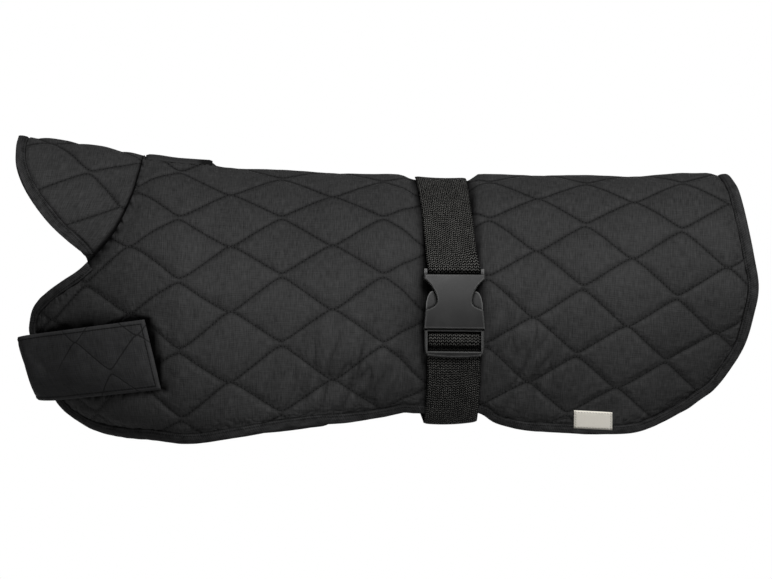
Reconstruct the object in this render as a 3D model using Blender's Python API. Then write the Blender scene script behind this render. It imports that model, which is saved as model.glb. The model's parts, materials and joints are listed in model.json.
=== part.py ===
"""A quilted winter coat for a dog, filled out in its worn shape with no wearer in it.

+X runs back towards the tail, +Z up, and -Y is the side with the buckle. The origin is on the inside of the
back, under the belly belt. Sizes in the tables are millimetres; meshes are built in metres.
"""

import bmesh
import bpy
import numpy as np
from mathutils import Matrix
from mathutils.geometry import delaunay_2d_cdt

MM = 0.001

# The hollow form at stations along the back: station, height of its spine, tilt of the sides beside the
# spine in degrees, arc from the spine to the widest place, extra curl under at the hem in degrees, half width.
FORM_COLUMNS = ("x", "spine", "tilt", "reach", "curl", "half")
FORM = (
    (-345, 20.0, 69, 172, 0, 111),
    (-226, 20.0, 69, 172, 0, 111),
    (-199, 15.4, 69, 172, 0, 111),
    (-157, 10.0, 74, 187, 0, 111),
    (-121, 8.5, 76, 194, 2, 111),
    (-77, 6.0, 79, 190, 8, 110),
    (-43, 5.2, 82, 184, 22, 107),
    (-30, 4.8, 82, 182, 27, 105),
    (-19, 2.2, 82, 180, 30, 103),
    (0, 0.8, 82, 176, 32, 101),
    (21.5, 1.2, 83, 174, 30, 99),
    (30, 4.7, 83, 172, 25, 98),
    (36, 5.0, 83, 171, 21, 97),
    (72, 4.7, 83, 156, 4, 94),
    (122, 3.9, 83, 146, 0, 89),
    (145, 3.6, 83, 139, 0, 86),
    (184, 5.5, 83, 122, 0, 79),
    (220, 5.8, 83, 110, 0, 71),
    (262, 5.8, 83, 100, 0, 61),
)
RIDGE = 16.0  # how fast the round of the spine turns into the sides
CURL_FROM, CURL_TO = 172.0, 240.0
UNDER_LIMIT = 31.0  # most that the sides turn in below their widest place, in degrees

# Where the chest comes to its front edge, by arc from the spine.
NOSE_COLUMNS = ("arc", "x")
NOSE = (
    (0, -328),
    (130, -327),
    (158, -324),
    (180, -322),
    (200, -320),
    (215, -313),
    (228, -304),
    (241, -292),
    (254, -275),
    (262, -262),
    (300, -235),
)
CHEST_FROM = -121.0
CHEST_POWER = 3.0
SHOULDER = -199.0
CHEST_DROP, CHEST_DROP_OVER, CHEST_DROP_ARC = 9.0, 92.0, 240.0

# The back panel's cut edge, from the foot of the collar seam round the chest lobe, hem and tail to the spine.
# Columns: x, arc.
HEM = (
    (-268, 115),
    (-275.5, 121.5),
    (-289, 129.5),
    (-298, 136),
    (-305, 142.5),
    (-309.5, 149),
    (-311.4, 157),
    (-312.4, 166),
    (-310.8, 176),
    (-308.5, 189),
    (-303, 205),
    (-297, 218),
    (-288, 233),
    (-278, 242.5),
    (-262, 252),
    (-243, 257),
    (-222, 259),
    (-199, 257.6),
    (-153, 254.6),
    (-112, 249.2),
    (-89, 246.2),
    (-46, 244.5),
    (-15, 236.5),
    (27, 238),
    (46, 247.5),
    (92, 247.5),
    (122, 247),
    (153, 242.5),
    (184, 225.6),
    (197.3, 214.7),
    (211.5, 201.2),
    (230.7, 168),
    (239.4, 137),
    (242.4, 117),
    (239.0, 95),
    (233.5, 66),
    (228.2, 37),
    (221, 0),
)
FAR_HEM_LOWER = 2.6  # how much longer the far side hangs between two stations
FAR_HEM_FROM, FAR_HEM_TO = (-150.0, -115.0), (-90.0, -84.0)
SEAM = ((-268, 115), (-260.5, 107.5), (-249, 93), (-239, 71), (-232, 45), (-227, 0))

# The collar's front edge from the spine to the foot of the seam, on the side with the buckle.
# Columns: x, half width, z.
COLLAR_EDGE = (
    (-323.5, 0, 35.5),
    (-325.2, 22, 27.0),
    (-324.6, 34, 15.0),
    (-319.4, 44.5, 0.5),
    (-310.5, 51.5, -14.5),
    (-298.2, 57, -30.0),
    (-285.8, 60, -41.0),
    (-274.0, 61.5, -49.5),
    (-269.5, 62, -55.5),
)
COLLAR_RISE = 2.6

# Quilting: rounded zigzag rows mirrored from row to row, a column of crossings every half wave.
ROW = 26.4
COLUMN = 38.6
COLUMN_AT = -81.6  # a column of crossings runs down the coat at this station
WAVE_SHARPNESS = 0.97
WAVE_SWING = 12.2
WAVE_LEAN = 0.96  # rows touch at one column and stand this much twice apart at the next
# The stitching doesn't lie quite evenly: it spreads a little over the chest, and behind the belt it draws
# together the lower it runs.
CHEST_SPREAD = 0.014
REAR_FROM, REAR_FULL, REAR_ORIGIN = 60.0, 130.0, 118.0
REAR_SHIFT, REAR_DRAW = -5.8, 0.043
LOW_SHIFT, LOW_DRAW, LOW_RISE = 3.8, 0.064, 4.4
COLLAR_QUILT_TURN = 0.15
COLLAR_QUILT_AT = (-37.0, -40.9)

# Wall thicknesses over the plain inside.
AT_STITCH, AT_PUFF, AT_EDGE, AT_RIDGE, AT_SEAM = 2.0, 5.6, 1.8, 4.2, 3.6
UNDER_BELT, UNDER_STRAP, UNDER_FLAP, UNDER_LABEL = 2.9, 2.9, 2.7, 2.6
PUFF_POWER = 0.62
EDGE_STEP, QUILT_STEP = 9.6, COLUMN / 4
INSIDE_STEP = (26.0, 13.2)
INSIDE_SQUEEZE = 0.45

GAP = 0.3
TAPE_WIDTH, TAPE, TAPE_GAP = 8.3, 0.8, 0.45

# The belly belt: its middle line, the same on both sides, and where it stands off the cloth to meet the buckle.
BELT_AT, BELT_SLANT, BELT_TURN = -0.1, 0.109, 6.0
BELT_WIDTH, BELT_THICK = 40.0, 1.8
BELT_LIFT = 3.9
BELT_STEP = 8.0
BELLY_DROP, BELLY_LEAD, BELLY_STEPS = 175.0, 46.0, 13
HEM_ARC_AT_BELT = 245.0

# The buckle, in its own frame: u along the body, v up, w out from the cloth.
BUCKLE_ARC = 155.5
BUCKLE_LIFT = 3.7
BUCKLE_BEND_RADIUS = 123.0
# The webbing through the buckle's two ends, and how far beyond them it leaves the form. Columns: v, w.
WEBBING_AT_TOP = ((31.1, 1.6), (31.25, 3.2), (31.9, 4.4), (33.1, 4.6), (35.0, 4.6))
WEBBING_AT_FOOT = (
    (-37.5, 1.0),
    (-30.0, 1.1),
    (-26.6, 1.3),
    (-25.3, 2.4),
    (-24.9, 4.4),
    (-24.2, 5.7),
    (-23.2, 6.1),
    (-18.9, 6.1),
    (-17.2, 5.4),
    (-16.2, 3.6),
)
BELT_REJOINS = 8.0
BELT_STANDS = (4.3, 1.0)  # w of the webbing's middle at the top and the foot
BODY_TOP, BODY_DEEP = 28.9, 11.0
# The right half of the socket's outline and of the plug's. Columns: u, v.
BODY_SIDE = (
    (23.5, -13.4),
    (22.9, -5.0),
    (22.2, 1.3),
    (18.5, 2.6),
    (15.0, 4.4),
    (13.6, 6.6),
    (13.4, 9.0),
    (14.0, 12.5),
    (15.6, 16.2),
    (18.2, 20.4),
    (21.0, 23.4),
    (23.1, 25.3),
    (23.1, 28.9),
)
HORN_TOP, HORN_HALF, SLOT_HALF = 33.5, 22.9, 20.7
HORN_W = (1.1, 7.2)
END_BAR_V, END_BAR_W = (32.4, 33.4), (1.4, 3.0)
CAVITY_HALF, CAVITY_V, CAVITY_W = 22.0, (-14.4, 1.3), (2.2, 8.8)
CAVITY_TOP_HALF, CAVITY_TOP_V = 12.2, 22.0
FRAME_W = (2.9, 8.4)
FRAME_OUTLINE = (
    (23.1, -13.8),
    (22.9, -27.0),
    (22.2, -31.4),
    (20.0, -34.0),
    (10.0, -34.9),
    (0.0, -35.2),
)
FRAME_SLOT_V = (-30.6, -14.6)
MIDDLE_BAR_V, MIDDLE_BAR_W = (-23.6, -18.6), (2.9, 4.8)
PRONG_W = (2.7, 8.3)
PRONG = (
    (0.0, -14.8),
    (20.9, -14.8),
    (20.9, -2.0),
    (21.8, 1.9),
    (21.6, 6.8),
    (20.6, 11.2),
    (19.4, 13.9),
    (18.2, 15.5),
    (16.6, 16.1),
    (12.7, 15.4),
    (12.7, 3.0),
    (14.6, -3.0),
    (16.4, -8.0),
    (4.5, -9.6),
    (3.6, 14.0),
    (0.0, 15.6),
)
BUCKLE_BEVEL = 0.9

# The chest strap's long edges as seen from the side, near end first. Columns: x, z.
STRAP_UPPER = ((-224.2, -102.2), (-326.0, -115.4))
STRAP_LOWER = ((-211.6, -154.2), (-310.5, -163.6))
STRAP_LEAVES = 28.0
STRAP_HOLD = (0.72, 0.5)  # how long the strap keeps its direction into and out of its turn
STRAP_FAR_LAP = 20.0
STRAP_LIFT, STRAP_THIN, STRAP_PUFF = 3.4, 2.2, 1.0
STRAP_ROWS, STRAP_SIDE_STEPS, STRAP_TURN_STEPS = 7, 8, 7
STRAP_QUILT_SCALE, STRAP_QUILT_AT = (1.43, 1.07), (-11.5, 41.2)

FLAP_X, FLAP_HALF, FLAP_THICK = (-225.5, -175.5), 15.0, 1.5
FLAP_LIFTS = (3.2, 4.2, 5.5, 6.9)

LABEL_X, LABEL_ARC, LABEL_LIFT, LABEL_THICK = (102.0, 131.0), (227.3, 242.8), 3.5, 0.7


def column(table, columns, name):
    return np.array([row[columns.index(name)] for row in table], float)


def smooth(at, knots, values):
    """A cubic through a table's rows that adds no bumps of its own."""
    step = np.diff(knots)
    slope = np.diff(values) / step
    before, after = slope[:-1], slope[1:]
    bend = np.where(before * after > 0, 2 * before * after / (before + after + 1e-12), 0.0)
    tangent = np.concatenate([slope[:1], bend, slope[-1:]])
    i = np.clip(np.searchsorted(knots, at) - 1, 0, len(step) - 1)
    t = np.clip((at - knots[i]) / step[i], 0, 1)
    rise = t * t * (3 - 2 * t)
    swing = (t**3 - 2 * t**2 + t) * tangent[i] + (t**3 - t**2) * tangent[i + 1]
    return (1 - rise) * values[i] + rise * values[i + 1] + swing * step[i]


def ease(value, low, high):
    t = np.clip((value - low) / (high - low), 0, 1)
    return t * t * (3 - 2 * t)


def spline(points, count=12):
    """A dense line through the points, as a Catmull-Rom curve."""
    points = np.asarray(points, float)
    ends = np.vstack([2 * points[0] - points[1], points, 2 * points[-1] - points[-2]])
    line = []
    for a, b, c, d in zip(ends, ends[1:], ends[2:], ends[3:]):
        for t in np.arange(count) / count:
            line.append(
                b + 0.5 * t * (c - a + t * (2 * a - 5 * b + 4 * c - d + t * (3 * (b - c) + d - a)))
            )
    line.append(points[-1])
    return np.array(line)


def lengths(line):
    return np.concatenate([[0.0], np.cumsum(np.linalg.norm(np.diff(line, axis=0), axis=1))])


def respaced(line, step):
    run = lengths(line)
    at = np.linspace(0, run[-1], max(2, int(round(run[-1] / step)) + 1))
    return np.stack([np.interp(at, run, line[:, k]) for k in range(line.shape[1])], axis=1)


def unit(vectors):
    return vectors / np.maximum(np.linalg.norm(vectors, axis=-1, keepdims=True), 1e-12)


class Form:
    """The general figure that the coat keeps the shape of, over station x and signed arc s from the spine."""

    def __init__(self):
        self.x = np.arange(FORM[0][0], FORM[-1][0] + 1.0)
        self.arc = np.arange(0.0, 301.0)
        knots = column(FORM, FORM_COLUMNS, "x")
        at = {
            name: smooth(self.x, knots, column(FORM, FORM_COLUMNS, name))[:, None]
            for name in FORM_COLUMNS[1:]
        }
        s = self.arc[None, :]
        lean = at["tilt"] * (1 - s / at["reach"])
        lean = np.where(lean < 0, UNDER_LIMIT * np.tanh(lean / UNDER_LIMIT), lean)
        lean = lean + (90 - at["tilt"]) * np.exp(-s / RIDGE)
        lean = lean - at["curl"] * np.clip((s - CURL_FROM) / (CURL_TO - CURL_FROM), 0, 1.3) ** 2
        depth, out = self.summed(np.cos(np.radians(lean))), self.summed(np.sin(np.radians(lean)))
        nose = smooth(s, column(NOSE, NOSE_COLUMNS, "arc"), column(NOSE, NOSE_COLUMNS, "x"))
        chest = np.clip((CHEST_FROM - self.x[:, None]) / (CHEST_FROM - nose), 0, 1)
        wide = out / out.max(axis=1, keepdims=True) * at["half"] * (1 - chest**CHEST_POWER)
        front = np.clip((SHOULDER - self.x[:, None]) / CHEST_DROP_OVER, 0, 1)
        drop = CHEST_DROP * front * np.sin(np.pi * np.clip(s / CHEST_DROP_ARC, 0, 1))
        height = at["spine"] - depth - drop
        self.wide, self.height = wide, height
        run = np.hypot(1.0, np.hypot(np.diff(wide, axis=0), np.diff(height, axis=0)))
        self.run = np.vstack([np.zeros((1, len(self.arc))), np.cumsum(run, axis=0)])
        self.run -= self.run[int(COLUMN_AT - self.x[0])][None, :]
        self.p = np.arange(np.floor(self.run.min()), np.ceil(self.run.max()) + 1)
        self.x_at = np.stack(
            [np.interp(self.p, self.run[:, i], self.x) for i in range(len(self.arc))], axis=1
        )

    @staticmethod
    def summed(values):
        steps = (values[:, 1:] + values[:, :-1]) / 2
        return np.hstack([np.zeros((len(values), 1)), np.cumsum(steps, axis=1)])

    @staticmethod
    def read(grid, first, a, b):
        """The grid's value at a along its first axis, which starts at first, and b along its second."""
        i = np.clip(a - first, 0, grid.shape[0] - 1.001)
        j = np.clip(b, 0, grid.shape[1] - 1.001)
        m, n = i.astype(int), j.astype(int)
        f, g = i - m, j - n
        low = grid[m, n] * (1 - g) + grid[m, n + 1] * g
        high = grid[m + 1, n] * (1 - g) + grid[m + 1, n + 1] * g
        return low * (1 - f) + high * f

    def at(self, x, s):
        x, s = np.broadcast_arrays(np.asarray(x, float), np.asarray(s, float))
        wide = self.read(self.wide, self.x[0], x, abs(s))
        return np.stack([x, np.sign(s) * wide, self.read(self.height, self.x[0], x, abs(s))], axis=-1)

    def normal(self, x, s, step=2.0):
        x, s = np.broadcast_arrays(np.asarray(x, float), np.asarray(s, float))
        along = self.at(x + step, s) - self.at(x - step, s)
        round_it = self.at(x, s + step) - self.at(x, s - step)
        return unit(np.cross(along, round_it))

    def raised(self, x, s, lift):
        return self.at(x, s) + np.asarray(lift)[..., None] * self.normal(x, s)

    def flat(self, xs):
        """(x, s) as cloth coordinates: length along the coat, and arc."""
        return np.stack([self.read(self.run, self.x[0], xs[:, 0], abs(xs[:, 1])), xs[:, 1]], axis=1)

    def unflat(self, ps):
        return self.read(self.x_at, self.p[0], ps[:, 0], abs(ps[:, 1])), ps[:, 1]

    def arc_at(self, x, z):
        """The arc at which the form passes height z at station x."""
        i = int(np.clip(round(x - self.x[0]), 0, len(self.x) - 1))
        return float(np.interp(-z, -self.height[i], self.arc))


form = Form()


def wave(p, row):
    """Arc of one zigzag row at length p: it swings between its two columns' crossings."""
    swing = np.arcsin(WAVE_SHARPNESS * np.cos(np.pi * p / COLUMN)) / np.arcsin(WAVE_SHARPNESS)
    even = np.where(np.asarray(row) % 2 == 0, 1.0, -1.0)
    return ROW * (row + 0.5) + even * (WAVE_SWING * swing * -1 + WAVE_LEAN * -1)


def drift(p, arc):
    """How far the even quilting lies off its stitches at cloth coordinates, along the coat and round it."""
    rear = ease(p, REAR_FROM, REAR_FULL)
    low, back = (abs(arc) / 200.0) ** 3, p - REAR_ORIGIN
    along = rear * (REAR_SHIFT + REAR_DRAW * back + low * (LOW_SHIFT + LOW_DRAW * back))
    return along - CHEST_SPREAD * np.minimum(p, 0.0), np.sign(arc) * rear * LOW_RISE * low


def drawn(p, arc):
    """Cloth coordinates of a point of the even quilting."""
    at = p, arc
    for _ in range(12):
        along, round_it = drift(*at)
        at = p - along, arc - round_it
    return at


def puff(p, arc):
    """From 0 on a stitched row of even quilting to 1 in the middle of a diamond."""
    arc = abs(arc)
    row = np.floor(arc / ROW + 0.5)
    for _ in range(2):
        row = np.where(arc < wave(p, row - 1), row - 1, row)
        row = np.where(arc >= wave(p, row), row + 1, row)
    low = np.where(row <= 0, -wave(p, np.zeros_like(row)), wave(p, row - 1))
    high = wave(p, np.maximum(row, 0))
    width = np.maximum(high - low, 1e-6)
    across = np.clip((arc - low) / width, 0, 1)
    return (4 * across * (1 - across)) ** PUFF_POWER * np.clip(width / (2 * ROW), 0, 1) ** PUFF_POWER


class Outline:
    """A closed cut edge in the flat, counter-clockwise, and how far inside it a point lies."""

    def __init__(self, points, bound):
        self.points, self.bound = points, bound

    def depth(self, at):
        a, b = self.points, np.roll(self.points, -1, axis=0)
        edge = b - a
        inside = np.zeros(len(at), bool)
        nearest = np.full(len(at), 1e9)
        for start, run, end in zip(a, edge, b):
            t = np.clip(((at - start) @ run) / (run @ run), 0, 1)
            nearest = np.minimum(nearest, np.linalg.norm(at - start - t[:, None] * run, axis=1))
            crosses = (start[1] > at[:, 1]) != (end[1] > at[:, 1])
            with np.errstate(divide="ignore", invalid="ignore"):
                meets = start[0] + (at[:, 1] - start[1]) * run[0] / run[1]
            inside ^= crosses & (at[:, 0] < meets)
        return np.where(inside, nearest, -nearest)

    def inset(self, width):
        """The bound stretch of the edge, moved inwards."""
        line = self.points[self.bound]
        turn = unit(np.gradient(line, axis=0))
        return line + width * np.stack([-turn[:, 1], turn[:, 0]], axis=1)


def triangulated(outline, lines, loose, squeeze=1.0):
    """(points, triangles, index of each outline point) of the flat shape, with the lines as edges."""
    points, edges = [*outline], []
    for line in lines:
        first = len(points)
        points.extend(line)
        edges.extend((i, i + 1) for i in range(first, len(points) - 1))
    points.extend(loose)
    scale = np.array([squeeze, 1.0])
    found = delaunay_2d_cdt(
        [tuple(p * scale) for p in points], edges, [list(range(len(outline)))], 1, 1e-4
    )
    index = {source: i for i, sources in enumerate(found[3]) for source in sources}
    return (
        np.array([tuple(p) for p in found[0]]) / scale,
        [tuple(face) for face in found[2]],
        [index[i] for i in range(len(outline))],
    )


def material(name, colour, roughness):
    made = bpy.data.materials.new(name)
    made.use_nodes = True
    shader = made.node_tree.nodes["Principled BSDF"]
    shader.inputs["Base Color"].default_value = (*colour, 1.0)
    shader.inputs["Roughness"].default_value = roughness
    shader.inputs["Metallic"].default_value = 0.0
    made.diffuse_color = (*colour, 1.0)
    return made


def piece(name, points, faces, finish):
    """A named object of these points, in millimetres, and faces."""
    mesh = bmesh.new()
    made = [mesh.verts.new(tuple(np.asarray(p, float) * MM)) for p in points]
    for face in faces:
        mesh.faces.new([made[i] for i in face])
    bmesh.ops.triangulate(mesh, faces=[f for f in mesh.faces if len(f.verts) > 3])
    data = bpy.data.meshes.new(name)
    mesh.to_mesh(data)
    mesh.free()
    data.materials.append(finish)
    obj = bpy.data.objects.new(name, data)
    bpy.context.scene.collection.objects.link(obj)
    return obj


def cloth_wall(name, outline, lines, loose, inside, outer, inner, finish):
    """A wall from a flat shape: outer(points) over the quilting's own mesh, inner(points) plain.

    The first of the lines is where the binding ends, which both faces follow."""
    top, top_faces, top_edge = triangulated(outline.points, lines, loose)
    low, low_faces, low_edge = triangulated(outline.points, lines[:1], inside, INSIDE_SQUEEZE)
    faces = [*top_faces]
    faces += [tuple(len(top) + i for i in reversed(face)) for face in low_faces]
    for i, start in enumerate(top_edge):
        j = (i + 1) % len(top_edge)
        faces.append((start, len(top) + low_edge[i], len(top) + low_edge[j], top_edge[j]))
    return piece(name, [*outer(top), *inner(low)], faces, finish)


def grid_wall(name, outer, inner, finish):
    """A wall between two grids of points of the same shape."""
    rows, columns = outer.shape[:2]
    back = rows * columns

    def at(i, j, side=0):
        return side * back + i * columns + j

    faces = []
    for i in range(rows - 1):
        for j in range(columns - 1):
            faces.append((at(i, j), at(i + 1, j), at(i + 1, j + 1), at(i, j + 1)))
            faces.append((at(i, j, 1), at(i, j + 1, 1), at(i + 1, j + 1, 1), at(i + 1, j, 1)))
    rim = [(i, 0) for i in range(rows)] + [(rows - 1, j) for j in range(1, columns)]
    rim += [(i, columns - 1) for i in range(rows - 2, -1, -1)]
    rim += [(0, j) for j in range(columns - 2, 0, -1)]
    for (i, j), (k, m) in zip(rim, rim[1:] + rim[:1]):
        faces.append((at(k, m), at(i, j), at(i, j, 1), at(k, m, 1)))
    obj = piece(name, [*outer.reshape(-1, 3), *inner.reshape(-1, 3)], faces, finish)
    face_out(obj)
    return obj


def folded_tape(name, edge, inset, finish):
    """Binding folded over an edge. edge and inset are (outer points, inner points, normals) down its length."""
    (edge_out, edge_in, edge_normal), (set_out, set_in, set_normal) = edge, inset
    away = unit((edge_out + edge_in) - (set_out + set_in))
    skin = TAPE_GAP + TAPE
    middle = (edge_out + edge_in) / 2
    loop = (
        set_out + TAPE_GAP * set_normal,
        edge_out + TAPE_GAP * edge_normal + GAP * away,
        edge_in - TAPE_GAP * edge_normal + GAP * away,
        set_in - TAPE_GAP * set_normal,
        set_in - skin * set_normal,
        edge_in - skin * edge_normal + GAP * away,
        middle + (skin + 0.2) * away,
        edge_out + skin * edge_normal + GAP * away,
        set_out + skin * set_normal,
    )
    points = np.stack(loop, axis=1)
    rings, sides = points.shape[:2]
    faces = []
    for i in range(rings - 1):
        for j in range(sides):
            k = (j + 1) % sides
            faces.append((i * sides + j, i * sides + k, (i + 1) * sides + k, (i + 1) * sides + j))
    ends = ((0, 1, 7, 8), (1, 2, 5, 6, 7), (2, 3, 4, 5))
    last = (rings - 1) * sides
    faces += [tuple(reversed(end)) for end in ends]
    faces += [tuple(last + i for i in end) for end in ends]
    obj = piece(name, points.reshape(-1, 3), faces, finish)
    face_out(obj)
    return obj


def face_out(obj):
    mesh = bmesh.new()
    mesh.from_mesh(obj.data)
    bmesh.ops.recalc_face_normals(mesh, faces=mesh.faces)
    mesh.to_mesh(obj.data)
    mesh.free()


def quilt_lines(outline, wave_at, rows, span, clear):
    """The stitched rows inside the outline, each cut where it comes within clear of the edge."""
    lines = []
    steps = np.arange(span[0], span[1] + 1) * QUILT_STEP
    for row in rows:
        for side in (-1, 1):
            line = np.stack(drawn(steps, side * wave_at(steps, np.full(len(steps), row))), axis=1)
            kept = outline.depth(line) > clear
            starts = np.flatnonzero(kept & ~np.roll(kept, 1))
            for start in starts:
                end = start
                while end + 1 < len(kept) and kept[end + 1]:
                    end += 1
                if end > start:
                    lines.append(line[start : end + 1])
    return lines


def diamond_points(rows, span):
    """Points inside the diamonds, between neighbouring rows."""
    found = []
    for step in range(span[0], span[1] + 1):
        p = step * QUILT_STEP
        for row in range(rows):
            high = wave(p, row)
            low = wave(p, row - 1) if row else -high
            count = int(round((high - low) / (2 * ROW) * 4)) - 1
            for k in range(1, count + 1):
                arc = low + (high - low) * k / (count + 1)
                found.append((p, arc))
                if row:
                    found.append((p, -arc))
    return np.stack(drawn(*np.array(found).T), axis=1)


def lattice(outline, step, clear):
    """Even points inside the outline, the same on both sides of the spine."""
    low, high = outline.points.min(axis=0), outline.points.max(axis=0)
    p, s = np.meshgrid(np.arange(low[0], high[0], step[0]), np.arange(0, high[1], step[1]))
    half = np.stack([p.ravel(), s.ravel()], axis=1)
    grid = np.vstack([half, half[half[:, 1] > 0] * (1, -1)])
    return grid[outline.depth(grid) > clear]


def belt_middle(y):
    """Station of the belt's middle line where it passes y to the side."""
    return BELT_AT + BELT_SLANT * (np.hypot(y, BELT_TURN) - BELT_TURN)


def panel_outline():
    """The back panel's cut edge, and its collar seam from the near foot to the far one."""
    near = np.array([(x, -arc) for x, arc in HEM], float)
    far = near[-2::-1] * (1, -1)
    line = spline(np.vstack([near, far]))
    lower = ease(line[:, 0], *FAR_HEM_FROM) * (1 - ease(line[:, 0], *FAR_HEM_TO))
    line[:, 1] += np.where(line[:, 1] > 200, FAR_HEM_LOWER * lower, 0)
    hem = respaced(form.flat(line), EDGE_STEP)
    seam_near = np.array([(x, -arc) for x, arc in SEAM], float)
    seam_both = spline(np.vstack([seam_near, seam_near[-2::-1] * (1, -1)]))
    seam = respaced(form.flat(seam_both), EDGE_STEP)
    points = np.vstack([hem, seam[-2:0:-1]])
    return Outline(points, np.arange(len(hem))), seam


def pressed(lift, away, reach, held):
    """The lift held down where something lies on the cloth, and free again at reach beyond it."""
    return np.minimum(lift, held + (AT_PUFF - held) * ease(away, 1.0, reach))


def panel_lift(ps):
    """Thickness of the back panel at cloth coordinates: quilted, but flat along edges and under straps."""
    x, s = form.unflat(ps)
    at = form.at(x, s)
    inside = panel_edge.depth(ps)
    along, round_it = drift(*ps.T)
    quilted = AT_STITCH + (AT_PUFF - AT_STITCH) * puff(ps[:, 0] + along, ps[:, 1] + round_it)
    quilted = AT_RIDGE + (quilted - AT_RIDGE) * (0.3 + 0.7 * ease(abs(s), 4.0, 26.0))
    lift = AT_STITCH + (quilted - AT_STITCH) * ease(inside, 6.0, 15.0)
    to_seam = np.min(np.linalg.norm(ps[:, None] - seam_line[None], axis=2), axis=1)
    unbound = ease(inside, TAPE_WIDTH - 0.4, TAPE_WIDTH + 1.5)
    lift = np.where(to_seam > inside + 1.5, AT_EDGE + (lift - AT_EDGE) * unbound, lift)
    from_belt = abs(x - belt_middle(at[:, 1])) - BELT_WIDTH / 2
    lift = pressed(lift, from_belt - 4.0, 9.0, UNDER_BELT)
    upper = np.interp(x, *zip(*STRAP_UPPER[::-1]))
    lower = np.interp(x, *zip(*STRAP_LOWER[::-1]))
    from_strap = np.maximum.reduce([at[:, 2] - upper, lower - at[:, 2], x - STRAP_LOWER[0][0]])
    lift = pressed(lift, from_strap - 3.0, 9.0, UNDER_STRAP)
    from_flap = np.maximum.reduce([FLAP_X[0] - x, x - FLAP_X[1], abs(s) - FLAP_HALF])
    lift = pressed(lift, from_flap, 12.0, UNDER_FLAP)
    from_label = np.maximum.reduce(
        [LABEL_X[0] - x, x - LABEL_X[1], LABEL_ARC[0] + s, -s - LABEL_ARC[1]]
    )
    return pressed(lift, from_label - 3.0, 9.0, UNDER_LABEL)


def on_form(lift):
    """Points of the form at cloth coordinates, raised by lift(points) or by a number."""

    def placed(ps):
        x, s = form.unflat(ps)
        height = lift(ps) if callable(lift) else np.full(len(ps), lift)
        return form.raised(x, s, height)

    return placed


def tape_rows(outline, outer, inner, normal_at):
    """What folded_tape needs of a bound edge, and of the same edge moved in by the tape's width."""
    edge = outline.points[outline.bound]
    inset = outline.inset(TAPE_WIDTH)
    return [(outer(line), inner(line), normal_at(line)) for line in (edge, inset)]


def back_panel(finish):
    """The one cut of the back, sides and chest lobes."""
    rows, span = 10, (-30, 36)
    inset = panel_edge.inset(TAPE_WIDTH)
    clear = TAPE_WIDTH + 2.5
    lines = quilt_lines(panel_edge, wave, range(rows), span, clear)
    loose = diamond_points(rows, span)
    loose = loose[panel_edge.depth(loose) > clear]
    inside = lattice(panel_edge, INSIDE_STEP, TAPE_WIDTH + 4.5)
    outer, inner = on_form(panel_lift), on_form(0.0)
    return cloth_wall("back_panel", panel_edge, [inset, *lines], loose, inside, outer, inner, finish)


def body_binding(finish):
    def normals(ps):
        return form.normal(*form.unflat(ps))

    rows = tape_rows(panel_edge, on_form(AT_EDGE), on_form(0.0), normals)
    return folded_tape("body_binding", *[[part[1:-1] for part in row] for row in rows], finish)


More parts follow.
